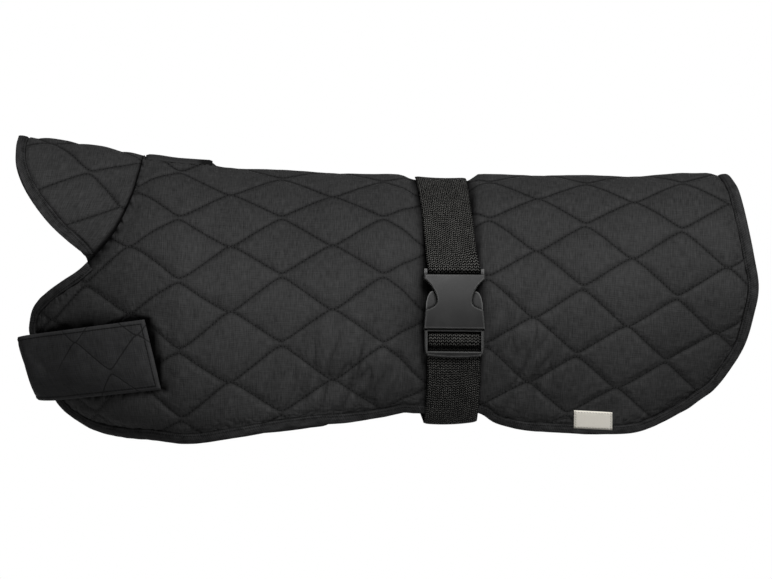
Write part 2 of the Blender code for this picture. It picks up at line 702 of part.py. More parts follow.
class Collar:
    """The collar's flat: q from its front edge to the seam at 0, b round the neck from foot to foot."""

    def __init__(self):
        x, s = form.unflat(seam_line)
        self.seam, self.seam_normal = form.at(x - GAP, s), form.normal(x, s)
        far = spline(np.array(COLLAR_EDGE, float))
        near = far[1:] * (1, -1, 1)
        self.edge = respaced(np.vstack([near[::-1], far]), 1.0)
        self.tall = lengths(self.seam)[-1] / 2
        self.seam_w = lengths(self.seam) / self.tall - 1
        self.edge_w = np.linspace(-1, 1, len(self.edge))
        self.reach = np.linalg.norm(self.at_seam(self.edge_w) - self.edge, axis=1)
        rim = np.linspace(1, -1, int(round(2 * self.tall / EDGE_STEP)) + 2)
        front = np.stack([-self.reach_at(rim), rim * self.tall], axis=1)
        back = np.stack([np.zeros(len(self.seam_w)), self.seam_w * self.tall], axis=1)
        points = np.vstack([back, front])
        self.outline = Outline(points, np.arange(len(back), len(points)))

    def at_seam(self, w):
        """The seam at w, from -1 at the near foot to 1 at the far one."""
        return np.stack([np.interp(w, self.seam_w, self.seam[:, k]) for k in range(3)], axis=-1)

    def reach_at(self, w):
        return np.interp(w, self.edge_w, self.reach)

    def at(self, flat):
        w = flat[:, 1] / self.tall
        v = np.clip(-flat[:, 0] / np.maximum(self.reach_at(w), 1e-6), 0, 1)[:, None]
        front = np.stack([np.interp(w, self.edge_w, self.edge[:, k]) for k in range(3)], axis=-1)
        rise = COLLAR_RISE * (4 * v * (1 - v)) * np.clip(1 - abs(w), 0, 1)[:, None]
        return self.at_seam(w) * (1 - v) + front * v + rise * np.array([0, 0, 1.0])

    def normal(self, flat, step=1.5):
        w = flat[:, 1] / self.tall
        reach = np.maximum(self.reach_at(w), 1e-6)
        v = np.clip(-flat[:, 0] / reach, 0, 1)
        w_in = np.clip(w, -0.93, 0.93)
        base = np.stack([-v * self.reach_at(w_in), w_in * self.tall], axis=1)
        along = self.at(base + (step, 0)) - self.at(base - (step, 0))
        up = self.at(base + (0, step)) - self.at(base - (0, step))
        own = unit(np.cross(along, up))
        seam = np.stack([np.interp(w, self.seam_w, self.seam_normal[:, k]) for k in range(3)], -1)
        blend = ease(-flat[:, 0], 0.0, 16.0)[:, None]
        return unit(seam * (1 - blend) + own * blend)

    def quilt(self, flat):
        """Cloth coordinates of the quilting, which runs aslant on the collar."""
        at = np.stack([flat[:, 0], abs(flat[:, 1])], axis=1) - (COLLAR_QUILT_AT[0], -COLLAR_QUILT_AT[1])
        c, s = np.cos(COLLAR_QUILT_TURN), np.sin(COLLAR_QUILT_TURN)
        return c * at[:, 0] + s * at[:, 1] + COLUMN, c * at[:, 1] - s * at[:, 0] + 3 * ROW

    def lift(self, flat):
        quilted = AT_STITCH + (AT_PUFF - 1.2 - AT_STITCH) * puff(*self.quilt(flat))
        full = AT_SEAM + (quilted - AT_SEAM) * ease(-flat[:, 0], 2.0, 16.0)
        front = np.min(
            np.linalg.norm(flat[:, None] - self.outline.points[self.outline.bound][None], axis=2), axis=1
        )
        bound = ease(front, TAPE_WIDTH + 0.8, TAPE_WIDTH + 4.5)
        return AT_EDGE + (full - AT_EDGE) * bound

    def raised(self, lift):
        def placed(flat):
            height = lift(flat) if callable(lift) else np.full(len(flat), lift)
            return self.at(flat) + height[:, None] * self.normal(flat)

        return placed


def collar(shape, finish):
    inset = shape.outline.inset(TAPE_WIDTH)
    inset = inset[shape.outline.depth(inset) > 3.0]
    low, high = shape.outline.points.min(axis=0), shape.outline.points.max(axis=0)
    q, b = np.meshgrid(np.arange(low[0], 0, 8.5), np.arange(0, high[1], 8.5))
    half = np.stack([q.ravel(), b.ravel()], axis=1)
    loose = np.vstack([half, half[half[:, 1] > 0] * (1, -1)])
    depth = shape.outline.depth(loose)
    clear = np.min(np.linalg.norm(loose[:, None] - inset[None], axis=2), axis=1)
    loose = loose[(depth > 5.0) & (clear > 4.5)]
    inside = lattice(shape.outline, (14.0, 12.0), 5.0)
    inside = inside[np.min(np.linalg.norm(inside[:, None] - inset[None], axis=2), axis=1) > 4.5]
    return cloth_wall(
        "collar", shape.outline, [inset], loose, inside, shape.raised(shape.lift), shape.raised(0.0), finish
    )


def collar_binding(shape, finish):
    rows = tape_rows(shape.outline, shape.raised(AT_EDGE), shape.raised(0.0), shape.normal)
    return folded_tape("collar_binding", *[[part[1:-1] for part in row] for row in rows], finish)


def strap_surface():
    """(points, normals) of the chest strap's inside: rows across it, steps along it from its near end."""
    rows = []
    for r in np.linspace(0, 1, STRAP_ROWS):
        (end_x, end_z), (nose_x, nose_z) = [
            (1 - r) * np.array(up, float) + r * np.array(low, float)
            for up, low in zip(STRAP_UPPER, STRAP_LOWER)
        ]
        leave = nose_x + STRAP_LEAVES
        xs = np.linspace(end_x, leave, STRAP_SIDE_STEPS)
        zs = np.interp(xs, (nose_x, end_x), (nose_z, end_z))
        arcs = np.array([form.arc_at(x, z) for x, z in zip(xs, zs)])
        side = form.raised(xs, -arcs, np.full(len(xs), STRAP_LIFT))
        start, run = side[-1], unit(side[-1] - side[-2])
        tip = np.array([nose_x + STRAP_THIN + STRAP_PUFF, 0.0, nose_z])
        reach = np.linalg.norm(tip - start)
        hold = start + run * reach * STRAP_HOLD[0], tip - np.array([0, reach * STRAP_HOLD[1], 0])
        t = (np.arange(1, STRAP_TURN_STEPS + 1) / STRAP_TURN_STEPS)[:, None]
        turn = (
            (1 - t) ** 3 * start
            + 3 * (1 - t) ** 2 * t * hold[0]
            + 3 * (1 - t) * t**2 * hold[1]
            + t**3 * tip
        )
        near = np.vstack([side, turn])
        mirrored = near[-2::-1] * (1, -1, 1)
        run = lengths(mirrored)
        keep = run <= run[STRAP_TURN_STEPS - 1] + STRAP_FAR_LAP
        rows.append(np.vstack([near, mirrored[keep]]))
    shortest = min(len(row) for row in rows)
    points = np.array([row[:shortest] for row in rows])
    across = np.gradient(points, axis=0)
    along = np.gradient(points, axis=1)
    return points, unit(np.cross(along, across))


def strap_quilt(run, across):
    """The even quilting's coordinates on the strap, where its diamonds are smaller."""
    (along, round_it), (start, low) = STRAP_QUILT_SCALE, STRAP_QUILT_AT
    return run * along + start, across * round_it + low


def chest_strap(finish):
    points, normals = strap_surface()
    rows, steps = points.shape[:2]
    run = np.array([lengths(row) for row in points])
    across = np.linspace(0, 2 * ROW, rows)[:, None] + np.zeros((1, steps))
    rim = np.minimum(np.minimum(across, 2 * ROW - across), run)
    thick = STRAP_THIN + STRAP_PUFF * puff(*strap_quilt(run, across)) * ease(rim, 2.0, 12.0)
    return grid_wall("chest_strap", points + thick[..., None] * normals, points, finish)


class BuckleFrame:
    """Where the buckle lies: flat against the side of the coat, in line with the belt."""

    def __init__(self):
        y = form.at(0.0, -BUCKLE_ARC)[1]
        x = belt_middle(y)
        self.out = form.normal(x, -BUCKLE_ARC)
        up = form.at(x, -BUCKLE_ARC + 20) - form.at(x, -BUCKLE_ARC - 20)
        up = up - (up @ self.out) * self.out
        self.up = up / np.linalg.norm(up)
        self.along = np.cross(self.up, self.out)
        self.origin = form.at(x, -BUCKLE_ARC) + BUCKLE_LIFT * self.out

    def matrix(self):
        """The buckle's own u, v and w as an object's axes, in metres."""
        turn = np.stack([self.along, self.up, self.out, self.origin * MM], axis=1)
        return Matrix([*turn.tolist(), [0, 0, 0, 1]])

    def place(self, u, v, w):
        u, v, w = np.broadcast_arrays(u, v, w)
        return (
            self.origin + u[..., None] * self.along + v[..., None] * self.up + w[..., None] * self.out
        )


def standing_off(distance, height):
    """Extra lift of webbing that leaves the round form in a straight line to stand height off it."""
    start = np.sqrt(2 * BUCKLE_BEND_RADIUS * height)
    return np.clip(start - distance, 0, None) ** 2 / (2 * BUCKLE_BEND_RADIUS)


def belt_path(frame):
    """(points, normals) of the belt's middle surface, from the buckle's top round to its foot."""
    edges = np.array([-1.0, 0.0, 1.0]) * BELT_WIDTH / 2
    half = BELT_THICK / 2
    top = BUCKLE_ARC - WEBBING_AT_TOP[-1][0]
    foot = BUCKLE_ARC - WEBBING_AT_FOOT[0][0]
    off_form = HORN_TOP**2 / (2 * BUCKLE_BEND_RADIUS) + BUCKLE_LIFT - BELT_LIFT - half
    top_off, foot_off = off_form + np.array(BELT_STANDS)

    def on_side(arcs, side, height, from_arc):
        base = form.at(0.0, side * arcs)[:, 1]
        xs = belt_middle(base)[:, None] + edges[None, :]
        s = (side * arcs)[:, None] + np.zeros((1, 3))
        off = standing_off(abs(arcs - from_arc), height)
        lift = (BELT_LIFT + half + off)[:, None] + np.zeros((1, 3))
        return form.raised(xs, s, lift)

    def through_buckle(table):
        v, w = np.array(table).T
        return frame.place(edges[None, :], v[:, None], w[:, None])

    far = np.linspace(0, HEM_ARC_AT_BELT, int(HEM_ARC_AT_BELT / BELT_STEP) + 1)
    upper = on_side(np.arange(top - BELT_REJOINS, 0, -BELT_STEP), -1, top_off, top)
    across = on_side(far, 1, 0.0, 0.0)
    low = np.arange(HEM_ARC_AT_BELT, foot + BELT_REJOINS, -BELT_STEP)
    lower = on_side(low, -1, foot_off, foot)
    belly = belly_turn(across[-1], across[-2], lower[0], lower[1])
    points = np.vstack(
        [through_buckle(WEBBING_AT_TOP), upper, across, belly, lower, through_buckle(WEBBING_AT_FOOT)]
    )
    along = np.gradient(points, axis=0)
    side = np.gradient(points, axis=1)
    return points, unit(np.cross(side, along))


def belly_turn(start, before, end, after):
    """The belt under the belly, where no cloth is: a smooth hang between the two hems."""
    t = (np.arange(1, BELLY_STEPS + 1) / (BELLY_STEPS + 1))[:, None, None]
    first = start + unit(start - before) * BELLY_LEAD
    last = end + unit(end - after) * BELLY_LEAD
    line = (1 - t) ** 3 * start + 3 * (1 - t) ** 2 * t * first + 3 * (1 - t) * t**2 * last + t**3 * end
    lowest = line[:, :, 2].min()
    line[:, :, 2] += (BELT_THICK - BELLY_DROP - lowest) * (4 * t[:, :, 0] * (1 - t[:, :, 0])) ** 1.0
    return line


def belly_belt(frame, finish):
    points, normals = belt_path(frame)
    half = BELT_THICK / 2
    return grid_wall("belly_belt", points + half * normals, points - half * normals, finish)


def plate(name, outline, w, frame, finish, bevel=0.0):
    """A flat plate of the buckle: an outline in u and v between two depths."""
    count = len(outline)
    points = [(u, v, depth) for depth in w for u, v in outline]
    faces = [tuple(range(count))[::-1], tuple(range(count, 2 * count))]
    faces += [(i, (i + 1) % count, count + (i + 1) % count, count + i) for i in range(count)]
    obj = piece(name, points, faces, finish)
    face_out(obj)
    obj.matrix_world = frame.matrix()
    if bevel:
        edge = obj.modifiers.new("Rounded", "BEVEL")
        edge.width, edge.segments, edge.limit_method = bevel * MM, 2, "ANGLE"
        edge.angle_limit, edge.loop_slide = np.radians(50), False
    return obj


def both_sides(half):
    """A closed outline from its right half, listed from foot to top or top to foot."""
    left = [(-u, v) for u, v in reversed(half) if u > 0]
    return [*half, *left]


def box_outline(half, v):
    return [(-half, v[0]), (half, v[0]), (half, v[1]), (-half, v[1])]


def joined(body, other, operation, solver="EXACT"):
    other.hide_render = True
    other.display_type = "WIRE"
    change = body.modifiers.new(other.name, "BOOLEAN")
    change.operation, change.object, change.solver = operation, other, solver


def buckle(frame, finish):
    female = plate(
        "buckle_female", both_sides(list(BODY_SIDE)), (0.0, BODY_DEEP), frame, finish, BUCKLE_BEVEL
    )
    mouth = [
        (CAVITY_HALF, CAVITY_V[0]),
        (CAVITY_HALF, CAVITY_V[1]),
        (CAVITY_HALF + 4.0, CAVITY_V[1] + 0.1),
        (CAVITY_HALF + 4.0, 16.6),
        (CAVITY_TOP_HALF, 16.6),
        (CAVITY_TOP_HALF, CAVITY_TOP_V),
    ]
    joined(female, plate("mouth", both_sides(mouth), CAVITY_W, frame, finish), "DIFFERENCE", "MANIFOLD")
    for side in (-1, 1):
        middle, half = side * (HORN_HALF + SLOT_HALF) / 2, (HORN_HALF - SLOT_HALF) / 2
        horn = [(middle + u, v) for u, v in box_outline(half, (BODY_TOP - 3.0, HORN_TOP))]
        joined(female, plate(f"horn_{side + 1}", horn, HORN_W, frame, finish), "UNION")
    bar = plate("end_bar", box_outline(HORN_HALF - 0.6, END_BAR_V), END_BAR_W, frame, finish)
    joined(female, bar, "UNION")
    male = plate("buckle_male", both_sides(list(FRAME_OUTLINE)), FRAME_W, frame, finish, BUCKLE_BEVEL)
    slot = plate("slot", box_outline(SLOT_HALF, FRAME_SLOT_V), (0.0, BODY_DEEP), frame, finish)
    joined(male, slot, "DIFFERENCE")
    middle = plate("middle_bar", box_outline(SLOT_HALF + 0.9, MIDDLE_BAR_V), MIDDLE_BAR_W, frame, finish)
    joined(male, middle, "UNION")
    prongs = plate("prongs", both_sides(list(PRONG)), PRONG_W, frame, finish)
    joined(male, prongs, "UNION")
    return female, male


def lying_patch(name, xs, arcs, lifts, thick, finish):
    """A small piece that follows the form, lifts giving its underside along x."""
    x, s = np.meshgrid(xs, arcs, indexing="ij")
    lift = np.interp(x, np.linspace(xs[0], xs[-1], len(lifts)), lifts)
    return grid_wall(name, form.raised(x, s, lift + thick), form.raised(x, s, lift), finish)


def leash_flap(finish):
    arcs = np.linspace(-FLAP_HALF, FLAP_HALF, 7)
    return lying_patch("leash_flap", np.linspace(*FLAP_X, 7), arcs, FLAP_LIFTS, FLAP_THICK, finish)


def label(finish):
    xs, arcs = np.linspace(*LABEL_X, 5), -np.linspace(LABEL_ARC[1], LABEL_ARC[0], 4)
    return lying_patch("label", xs, arcs, (LABEL_LIFT, LABEL_LIFT), LABEL_THICK, finish)


for stale in list(bpy.data.objects):
    bpy.data.objects.remove(stale)

panel_edge, seam_line = panel_outline()
collar_shape = Collar()
buckle_frame = BuckleFrame()

back_panel(material("quilted_cloth", (0.028, 0.028, 0.029), 0.62))
collar(collar_shape, material("collar_cloth", (0.028, 0.028, 0.029), 0.62))
body_binding(material("binding_tape", (0.02, 0.02, 0.021), 0.7))
collar_binding(collar_shape, material("collar_tape", (0.02, 0.02, 0.021), 0.7))
chest_strap(material("strap_cloth", (0.025, 0.025, 0.026), 0.65))
belly_belt(buckle_frame, material("webbing", (0.02, 0.02, 0.019), 0.8))
buckle(buckle_frame, material("moulded_plastic", (0.018, 0.018, 0.02), 0.38))
leash_flap(material("flap_tape", (0.012, 0.012, 0.013), 0.8))
label(material("label_cloth", (0.72, 0.68, 0.6), 0.8))
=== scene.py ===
"""Dresses the dog winter coat's frame: quilted cloth, binding, webbing, buckle, label and the studio.

+X runs back towards the tail, +Z up, and -Y is the side with the buckle. Sizes in the tables are
millimetres and repeat the part's own; meshes are placed in metres.
"""

import json

import bmesh
import bpy
import numpy as np
from bpy.props import FloatProperty, FloatVectorProperty, PointerProperty
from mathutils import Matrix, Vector, noise

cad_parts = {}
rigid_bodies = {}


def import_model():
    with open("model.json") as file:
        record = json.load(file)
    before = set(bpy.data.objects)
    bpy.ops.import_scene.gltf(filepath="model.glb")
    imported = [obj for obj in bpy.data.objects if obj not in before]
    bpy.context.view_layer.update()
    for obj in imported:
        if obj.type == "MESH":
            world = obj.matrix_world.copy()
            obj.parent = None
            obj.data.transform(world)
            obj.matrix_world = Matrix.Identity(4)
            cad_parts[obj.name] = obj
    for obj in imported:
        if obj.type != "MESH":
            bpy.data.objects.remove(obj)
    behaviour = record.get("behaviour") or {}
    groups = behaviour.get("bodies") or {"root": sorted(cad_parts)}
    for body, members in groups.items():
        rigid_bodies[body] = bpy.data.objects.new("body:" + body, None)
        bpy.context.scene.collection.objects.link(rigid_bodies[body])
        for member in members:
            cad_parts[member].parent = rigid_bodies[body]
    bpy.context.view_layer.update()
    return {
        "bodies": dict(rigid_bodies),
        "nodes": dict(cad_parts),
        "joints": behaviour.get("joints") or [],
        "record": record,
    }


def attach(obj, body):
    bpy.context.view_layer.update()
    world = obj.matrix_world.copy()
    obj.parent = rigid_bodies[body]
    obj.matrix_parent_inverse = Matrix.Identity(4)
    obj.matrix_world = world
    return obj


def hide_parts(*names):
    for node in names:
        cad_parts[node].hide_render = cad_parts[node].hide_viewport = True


bl_info = {
    "name": "Dog winter coat",
    "version": (1, 0, 0),
    "blender": (4, 5, 0),
    "location": "View3D > Sidebar > Coat",
    "description": "Makes the coat's cloth, webbing, buckle and studio on its frame",
    "category": "Object",
}

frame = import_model()

MM = 0.001

# The hollow form at stations along the back: station, height of its spine, tilt of the sides beside
# the spine in degrees, arc from the spine to the widest place, extra curl under at the hem in
# degrees, half width.
FORM_COLUMNS = ("x", "spine", "tilt", "reach", "curl", "half")
FORM = (
    (-345, 20.0, 69, 172, 0, 111),
    (-226, 20.0, 69, 172, 0, 111),
    (-199, 15.4, 69, 172, 0, 111),
    (-157, 10.0, 74, 187, 0, 111),
    (-121, 8.5, 76, 194, 2, 111),
    (-77, 6.0, 79, 190, 8, 110),
    (-43, 5.2, 82, 184, 22, 107),
    (-30, 4.8, 82, 182, 27, 105),
    (-19, 2.2, 82, 180, 30, 103),
    (0, 0.8, 82, 176, 32, 101),
    (21.5, 1.2, 83, 174, 30, 99),
    (30, 4.7, 83, 172, 25, 98),
    (36, 5.0, 83, 171, 21, 97),
    (72, 4.7, 83, 156, 4, 94),
    (122, 3.9, 83, 146, 0, 89),
    (145, 3.6, 83, 139, 0, 86),
    (184, 5.5, 83, 122, 0, 79),
    (220, 5.8, 83, 110, 0, 71),
    (262, 5.8, 83, 100, 0, 61),
)
RIDGE = 16.0  # how fast the round of the spine turns into the sides
CURL_FROM, CURL_TO = 172.0, 240.0
UNDER_LIMIT = 31.0  # most that the sides turn in below their widest place, in degrees

# Where the chest comes to its front edge, by arc from the spine.
NOSE_COLUMNS = ("arc", "x")
NOSE = (
    (0, -328),
    (130, -327),
    (158, -324),
    (180, -322),
    (200, -320),
    (215, -313),
    (228, -304),
    (241, -292),
    (254, -275),
    (262, -262),
    (300, -235),
)
CHEST_FROM = -121.0
CHEST_POWER = 3.0
SHOULDER = -199.0
CHEST_DROP, CHEST_DROP_OVER, CHEST_DROP_ARC = 9.0, 92.0, 240.0

# The back panel's cut edge, from the foot of the collar seam round the chest lobe, hem and tail to the spine.
# Columns: x, arc.
HEM = (
    (-268, 115),
    (-275.5, 121.5),
    (-289, 129.5),
    (-298, 136),
    (-305, 142.5),
    (-309.5, 149),
    (-311.4, 157),
    (-312.4, 166),
    (-310.8, 176),
    (-308.5, 189),
    (-303, 205),
    (-297, 218),
    (-288, 233),
    (-278, 242.5),
    (-262, 252),
    (-243, 257),
    (-222, 259),
    (-199, 257.6),
    (-153, 254.6),
    (-112, 249.2),
    (-89, 246.2),
    (-46, 244.5),
    (-15, 236.5),
    (27, 238),
    (46, 247.5),
    (92, 247.5),
    (122, 247),
    (153, 242.5),
    (184, 225.6),
    (197.3, 214.7),
    (211.5, 201.2),
    (230.7, 168),
    (239.4, 137),
    (242.4, 117),
    (239.0, 95),
    (233.5, 66),
    (228.2, 37),
    (221, 0),
)
FAR_HEM_LOWER = 2.6  # how much longer the far side hangs between two stations
FAR_HEM_FROM, FAR_HEM_TO = (-150.0, -115.0), (-90.0, -84.0)
SEAM = ((-268, 115), (-260.5, 107.5), (-249, 93), (-239, 71), (-232, 45), (-227, 0))

# The collar's front edge from the spine to the foot of the seam, on the side with the buckle.
# Columns: x, half width, z.
COLLAR_EDGE = (
    (-323.5, 0, 35.5),
    (-325.2, 22, 27.0),
    (-324.6, 34, 15.0),
    (-319.4, 44.5, 0.5),
    (-310.5, 51.5, -14.5),
    (-298.2, 57, -30.0),
    (-285.8, 60, -41.0),
    (-274.0, 61.5, -49.5),
    (-269.5, 62, -55.5),
)
COLLAR_RISE = 2.6

# Quilting: rounded zigzag rows mirrored from row to row, a column of crossings every half wave.
ROW = 26.4
COLUMN = 38.6
COLUMN_AT = -81.6  # a column of crossings runs down the coat at this station
WAVE_SHARPNESS = 0.97
WAVE_SWING = 12.2
WAVE_LEAN = 0.96  # rows touch at one column and stand this much twice apart at the next
# The stitching doesn't lie quite evenly: it spreads a little over the chest, and behind the belt it draws
# together the lower it runs.
CHEST_SPREAD = 0.014
REAR_FROM, REAR_FULL, REAR_ORIGIN = 60.0, 130.0, 118.0
REAR_SHIFT, REAR_DRAW = -5.8, 0.043
LOW_SHIFT, LOW_DRAW, LOW_RISE = 3.8, 0.064, 4.4
COLLAR_QUILT_TURN = 0.15
COLLAR_QUILT_AT = (-37.0, -40.9)

# Wall thicknesses over the plain inside.
AT_STITCH, AT_PUFF, AT_EDGE, AT_RIDGE, AT_SEAM = 2.0, 5.6, 1.8, 4.2, 3.6
UNDER_BELT, UNDER_STRAP, UNDER_FLAP, UNDER_LABEL = 2.9, 2.9, 2.7, 2.6
PUFF_POWER = 0.62
EDGE_STEP = 3.0

GAP = 0.3
TAPE_WIDTH = 8.3

# The belly belt: its middle line, the same on both sides, and how far it lies off the plain inside.
BELT_AT, BELT_SLANT, BELT_TURN = -0.1, 0.109, 6.0
BELT_WIDTH, BELT_THICK = 40.0, 1.8
BELT_LIFT = 3.9
BELT_STEP = 8.0
BELLY_DROP, BELLY_LEAD, BELLY_STEPS = 175.0, 46.0, 13
HEM_ARC_AT_BELT = 245.0

# The buckle, in its own frame: u along the body, v up, w out from the cloth.
BUCKLE_ARC = 155.5
BUCKLE_LIFT = 3.7
BUCKLE_BEND_RADIUS = 123.0
# The webbing through the buckle's two ends, and how far beyond them it leaves the form. Columns: v, w.
WEBBING_AT_TOP = ((31.1, 1.6), (31.25, 3.2), (31.9, 4.4), (33.1, 4.6), (35.0, 4.6))
WEBBING_AT_FOOT = (
    (-37.5, 1.0),
    (-30.0, 1.1),
    (-26.6, 1.3),
    (-25.3, 2.4),
    (-24.9, 4.4),
    (-24.2, 5.7),
    (-23.2, 6.1),
    (-18.9, 6.1),
    (-17.2, 5.4),
    (-16.2, 3.6),
)
BELT_REJOINS = 8.0
BELT_STANDS = (4.3, 1.0)  # w of the webbing's middle at the top and the foot
HORN_TOP = 33.5  # how far up the socket's horns reach

# The chest strap's long edges as seen from the side, near end first. Columns: x, z.
STRAP_UPPER = ((-224.2, -102.2), (-326.0, -115.4))
STRAP_LOWER = ((-211.6, -154.2), (-310.5, -163.6))
STRAP_LEAVES = 28.0
STRAP_HOLD = (0.72, 0.5)  # how long the strap keeps its direction into and out of its turn
STRAP_FAR_LAP = 20.0
STRAP_LIFT, STRAP_THIN, STRAP_PUFF = 3.4, 2.2, 1.0
STRAP_ROWS, STRAP_SIDE_STEPS, STRAP_TURN_STEPS = 7, 8, 7
STRAP_QUILT_SCALE, STRAP_QUILT_AT = (1.43, 1.07), (-11.5, 41.2)

FLAP_X, FLAP_HALF, FLAP_THICK = (-225.5, -175.5), 15.0, 1.5
FLAP_LIFTS = (3.2, 4.2, 5.5, 6.9)

LABEL_X, LABEL_ARC, LABEL_LIFT, LABEL_THICK = (102.0, 131.0), (227.3, 242.8), 3.5, 0.7

# What the dressed pieces add to the part's own sizes.
INNER_FACE = 0.2  # the cloth's inner face over the plain inside
# The outer face is at least this far over the plain inside, under the binding and beside it, and
# rises from one to the other between these distances from the cut edge.
UNDER_TAPE, BESIDE_TAPE = 0.9, 2.8
TAPE_ENDS = (7.2, 8.8)
QUILT_CELLS = 10  # grid cells in each quilting column and in each row
ROWS_ASIDE = 10  # quilted rows on either side of the spine's
COLLAR_CELLS = (150, 62)
STRAP_CELLS = (120, 28)
STRAP_RUN = 196.2  # length of cloth along the strap's inside
BELT_CELL, BELT_LANES = 2.6, 18
BELT_SHADED_FROM = 480.0  # length from the buckle's top beyond which the webbing is painted a little darker, as shade where it faces down
QUILT_STITCH, TAPE_STITCH, STRAP_STITCH, LABEL_STITCH = 2.7, 3.0, 2.8, 2.2
HERRINGBONE, STRAND = 3.0, 2.1  # the webbing's columns and the threads down them
FLAP_LAP = 0.7  # how far the cloth stays down beyond the flap's edges
BULGE_AT, BULGE_REACH = -268.0, 26.0  # where the chest bulges over the strap
CROWN_BELOW = 4.0  # the crown of the buckle's face is worked out from this far under its middle
SAME_POINT, SHARP_EDGE = 2e-5, 0.9  # in metres and radians, on the buckle's merged solids

# The studio, in metres.
FLOOR_AT = -0.45
LIT_POINT = (0.0, 0.0, -0.08)
VIEWPOINT = (-0.0413, -20.0, -0.0792)


def column(table, columns, name):
    return np.array([row[columns.index(name)] for row in table], float)


def smooth(at, knots, values):
    """A cubic through a table's rows that adds no bumps of its own."""
    step = np.diff(knots)
    slope = np.diff(values) / step
    before, after = slope[:-1], slope[1:]
    bend = np.where(before * after > 0, 2 * before * after / (before + after + 1e-12), 0.0)
    tangent = np.concatenate([slope[:1], bend, slope[-1:]])
    i = np.clip(np.searchsorted(knots, at) - 1, 0, len(step) - 1)
    t = np.clip((at - knots[i]) / step[i], 0, 1)
    rise = t * t * (3 - 2 * t)
    swing = (t**3 - 2 * t**2 + t) * tangent[i] + (t**3 - t**2) * tangent[i + 1]
    return (1 - rise) * values[i] + rise * values[i + 1] + swing * step[i]


def ease(value, low, high):
    t = np.clip((value - low) / (high - low), 0, 1)
    return t * t * (3 - 2 * t)


def spline(points, count=12):
    """A dense line through the points, as a Catmull-Rom curve."""
    points = np.asarray(points, float)
    ends = np.vstack([2 * points[0] - points[1], points, 2 * points[-1] - points[-2]])
    line = []
    for a, b, c, d in zip(ends, ends[1:], ends[2:], ends[3:]):
        for t in np.arange(count) / count:
            line.append(
                b + 0.5 * t * (c - a + t * (2 * a - 5 * b + 4 * c - d + t * (3 * (b - c) + d - a)))
            )
    line.append(points[-1])
    return np.array(line)


def lengths(line):
    return np.concatenate([[0.0], np.cumsum(np.linalg.norm(np.diff(line, axis=0), axis=1))])


def respaced(line, step):
    run = lengths(line)
    at = np.linspace(0, run[-1], max(2, int(round(run[-1] / step)) + 1))
    return np.stack([np.interp(at, run, line[:, k]) for k in range(line.shape[1])], axis=1)


def unit(vectors):
    return vectors / np.maximum(np.linalg.norm(vectors, axis=-1, keepdims=True), 1e-12)


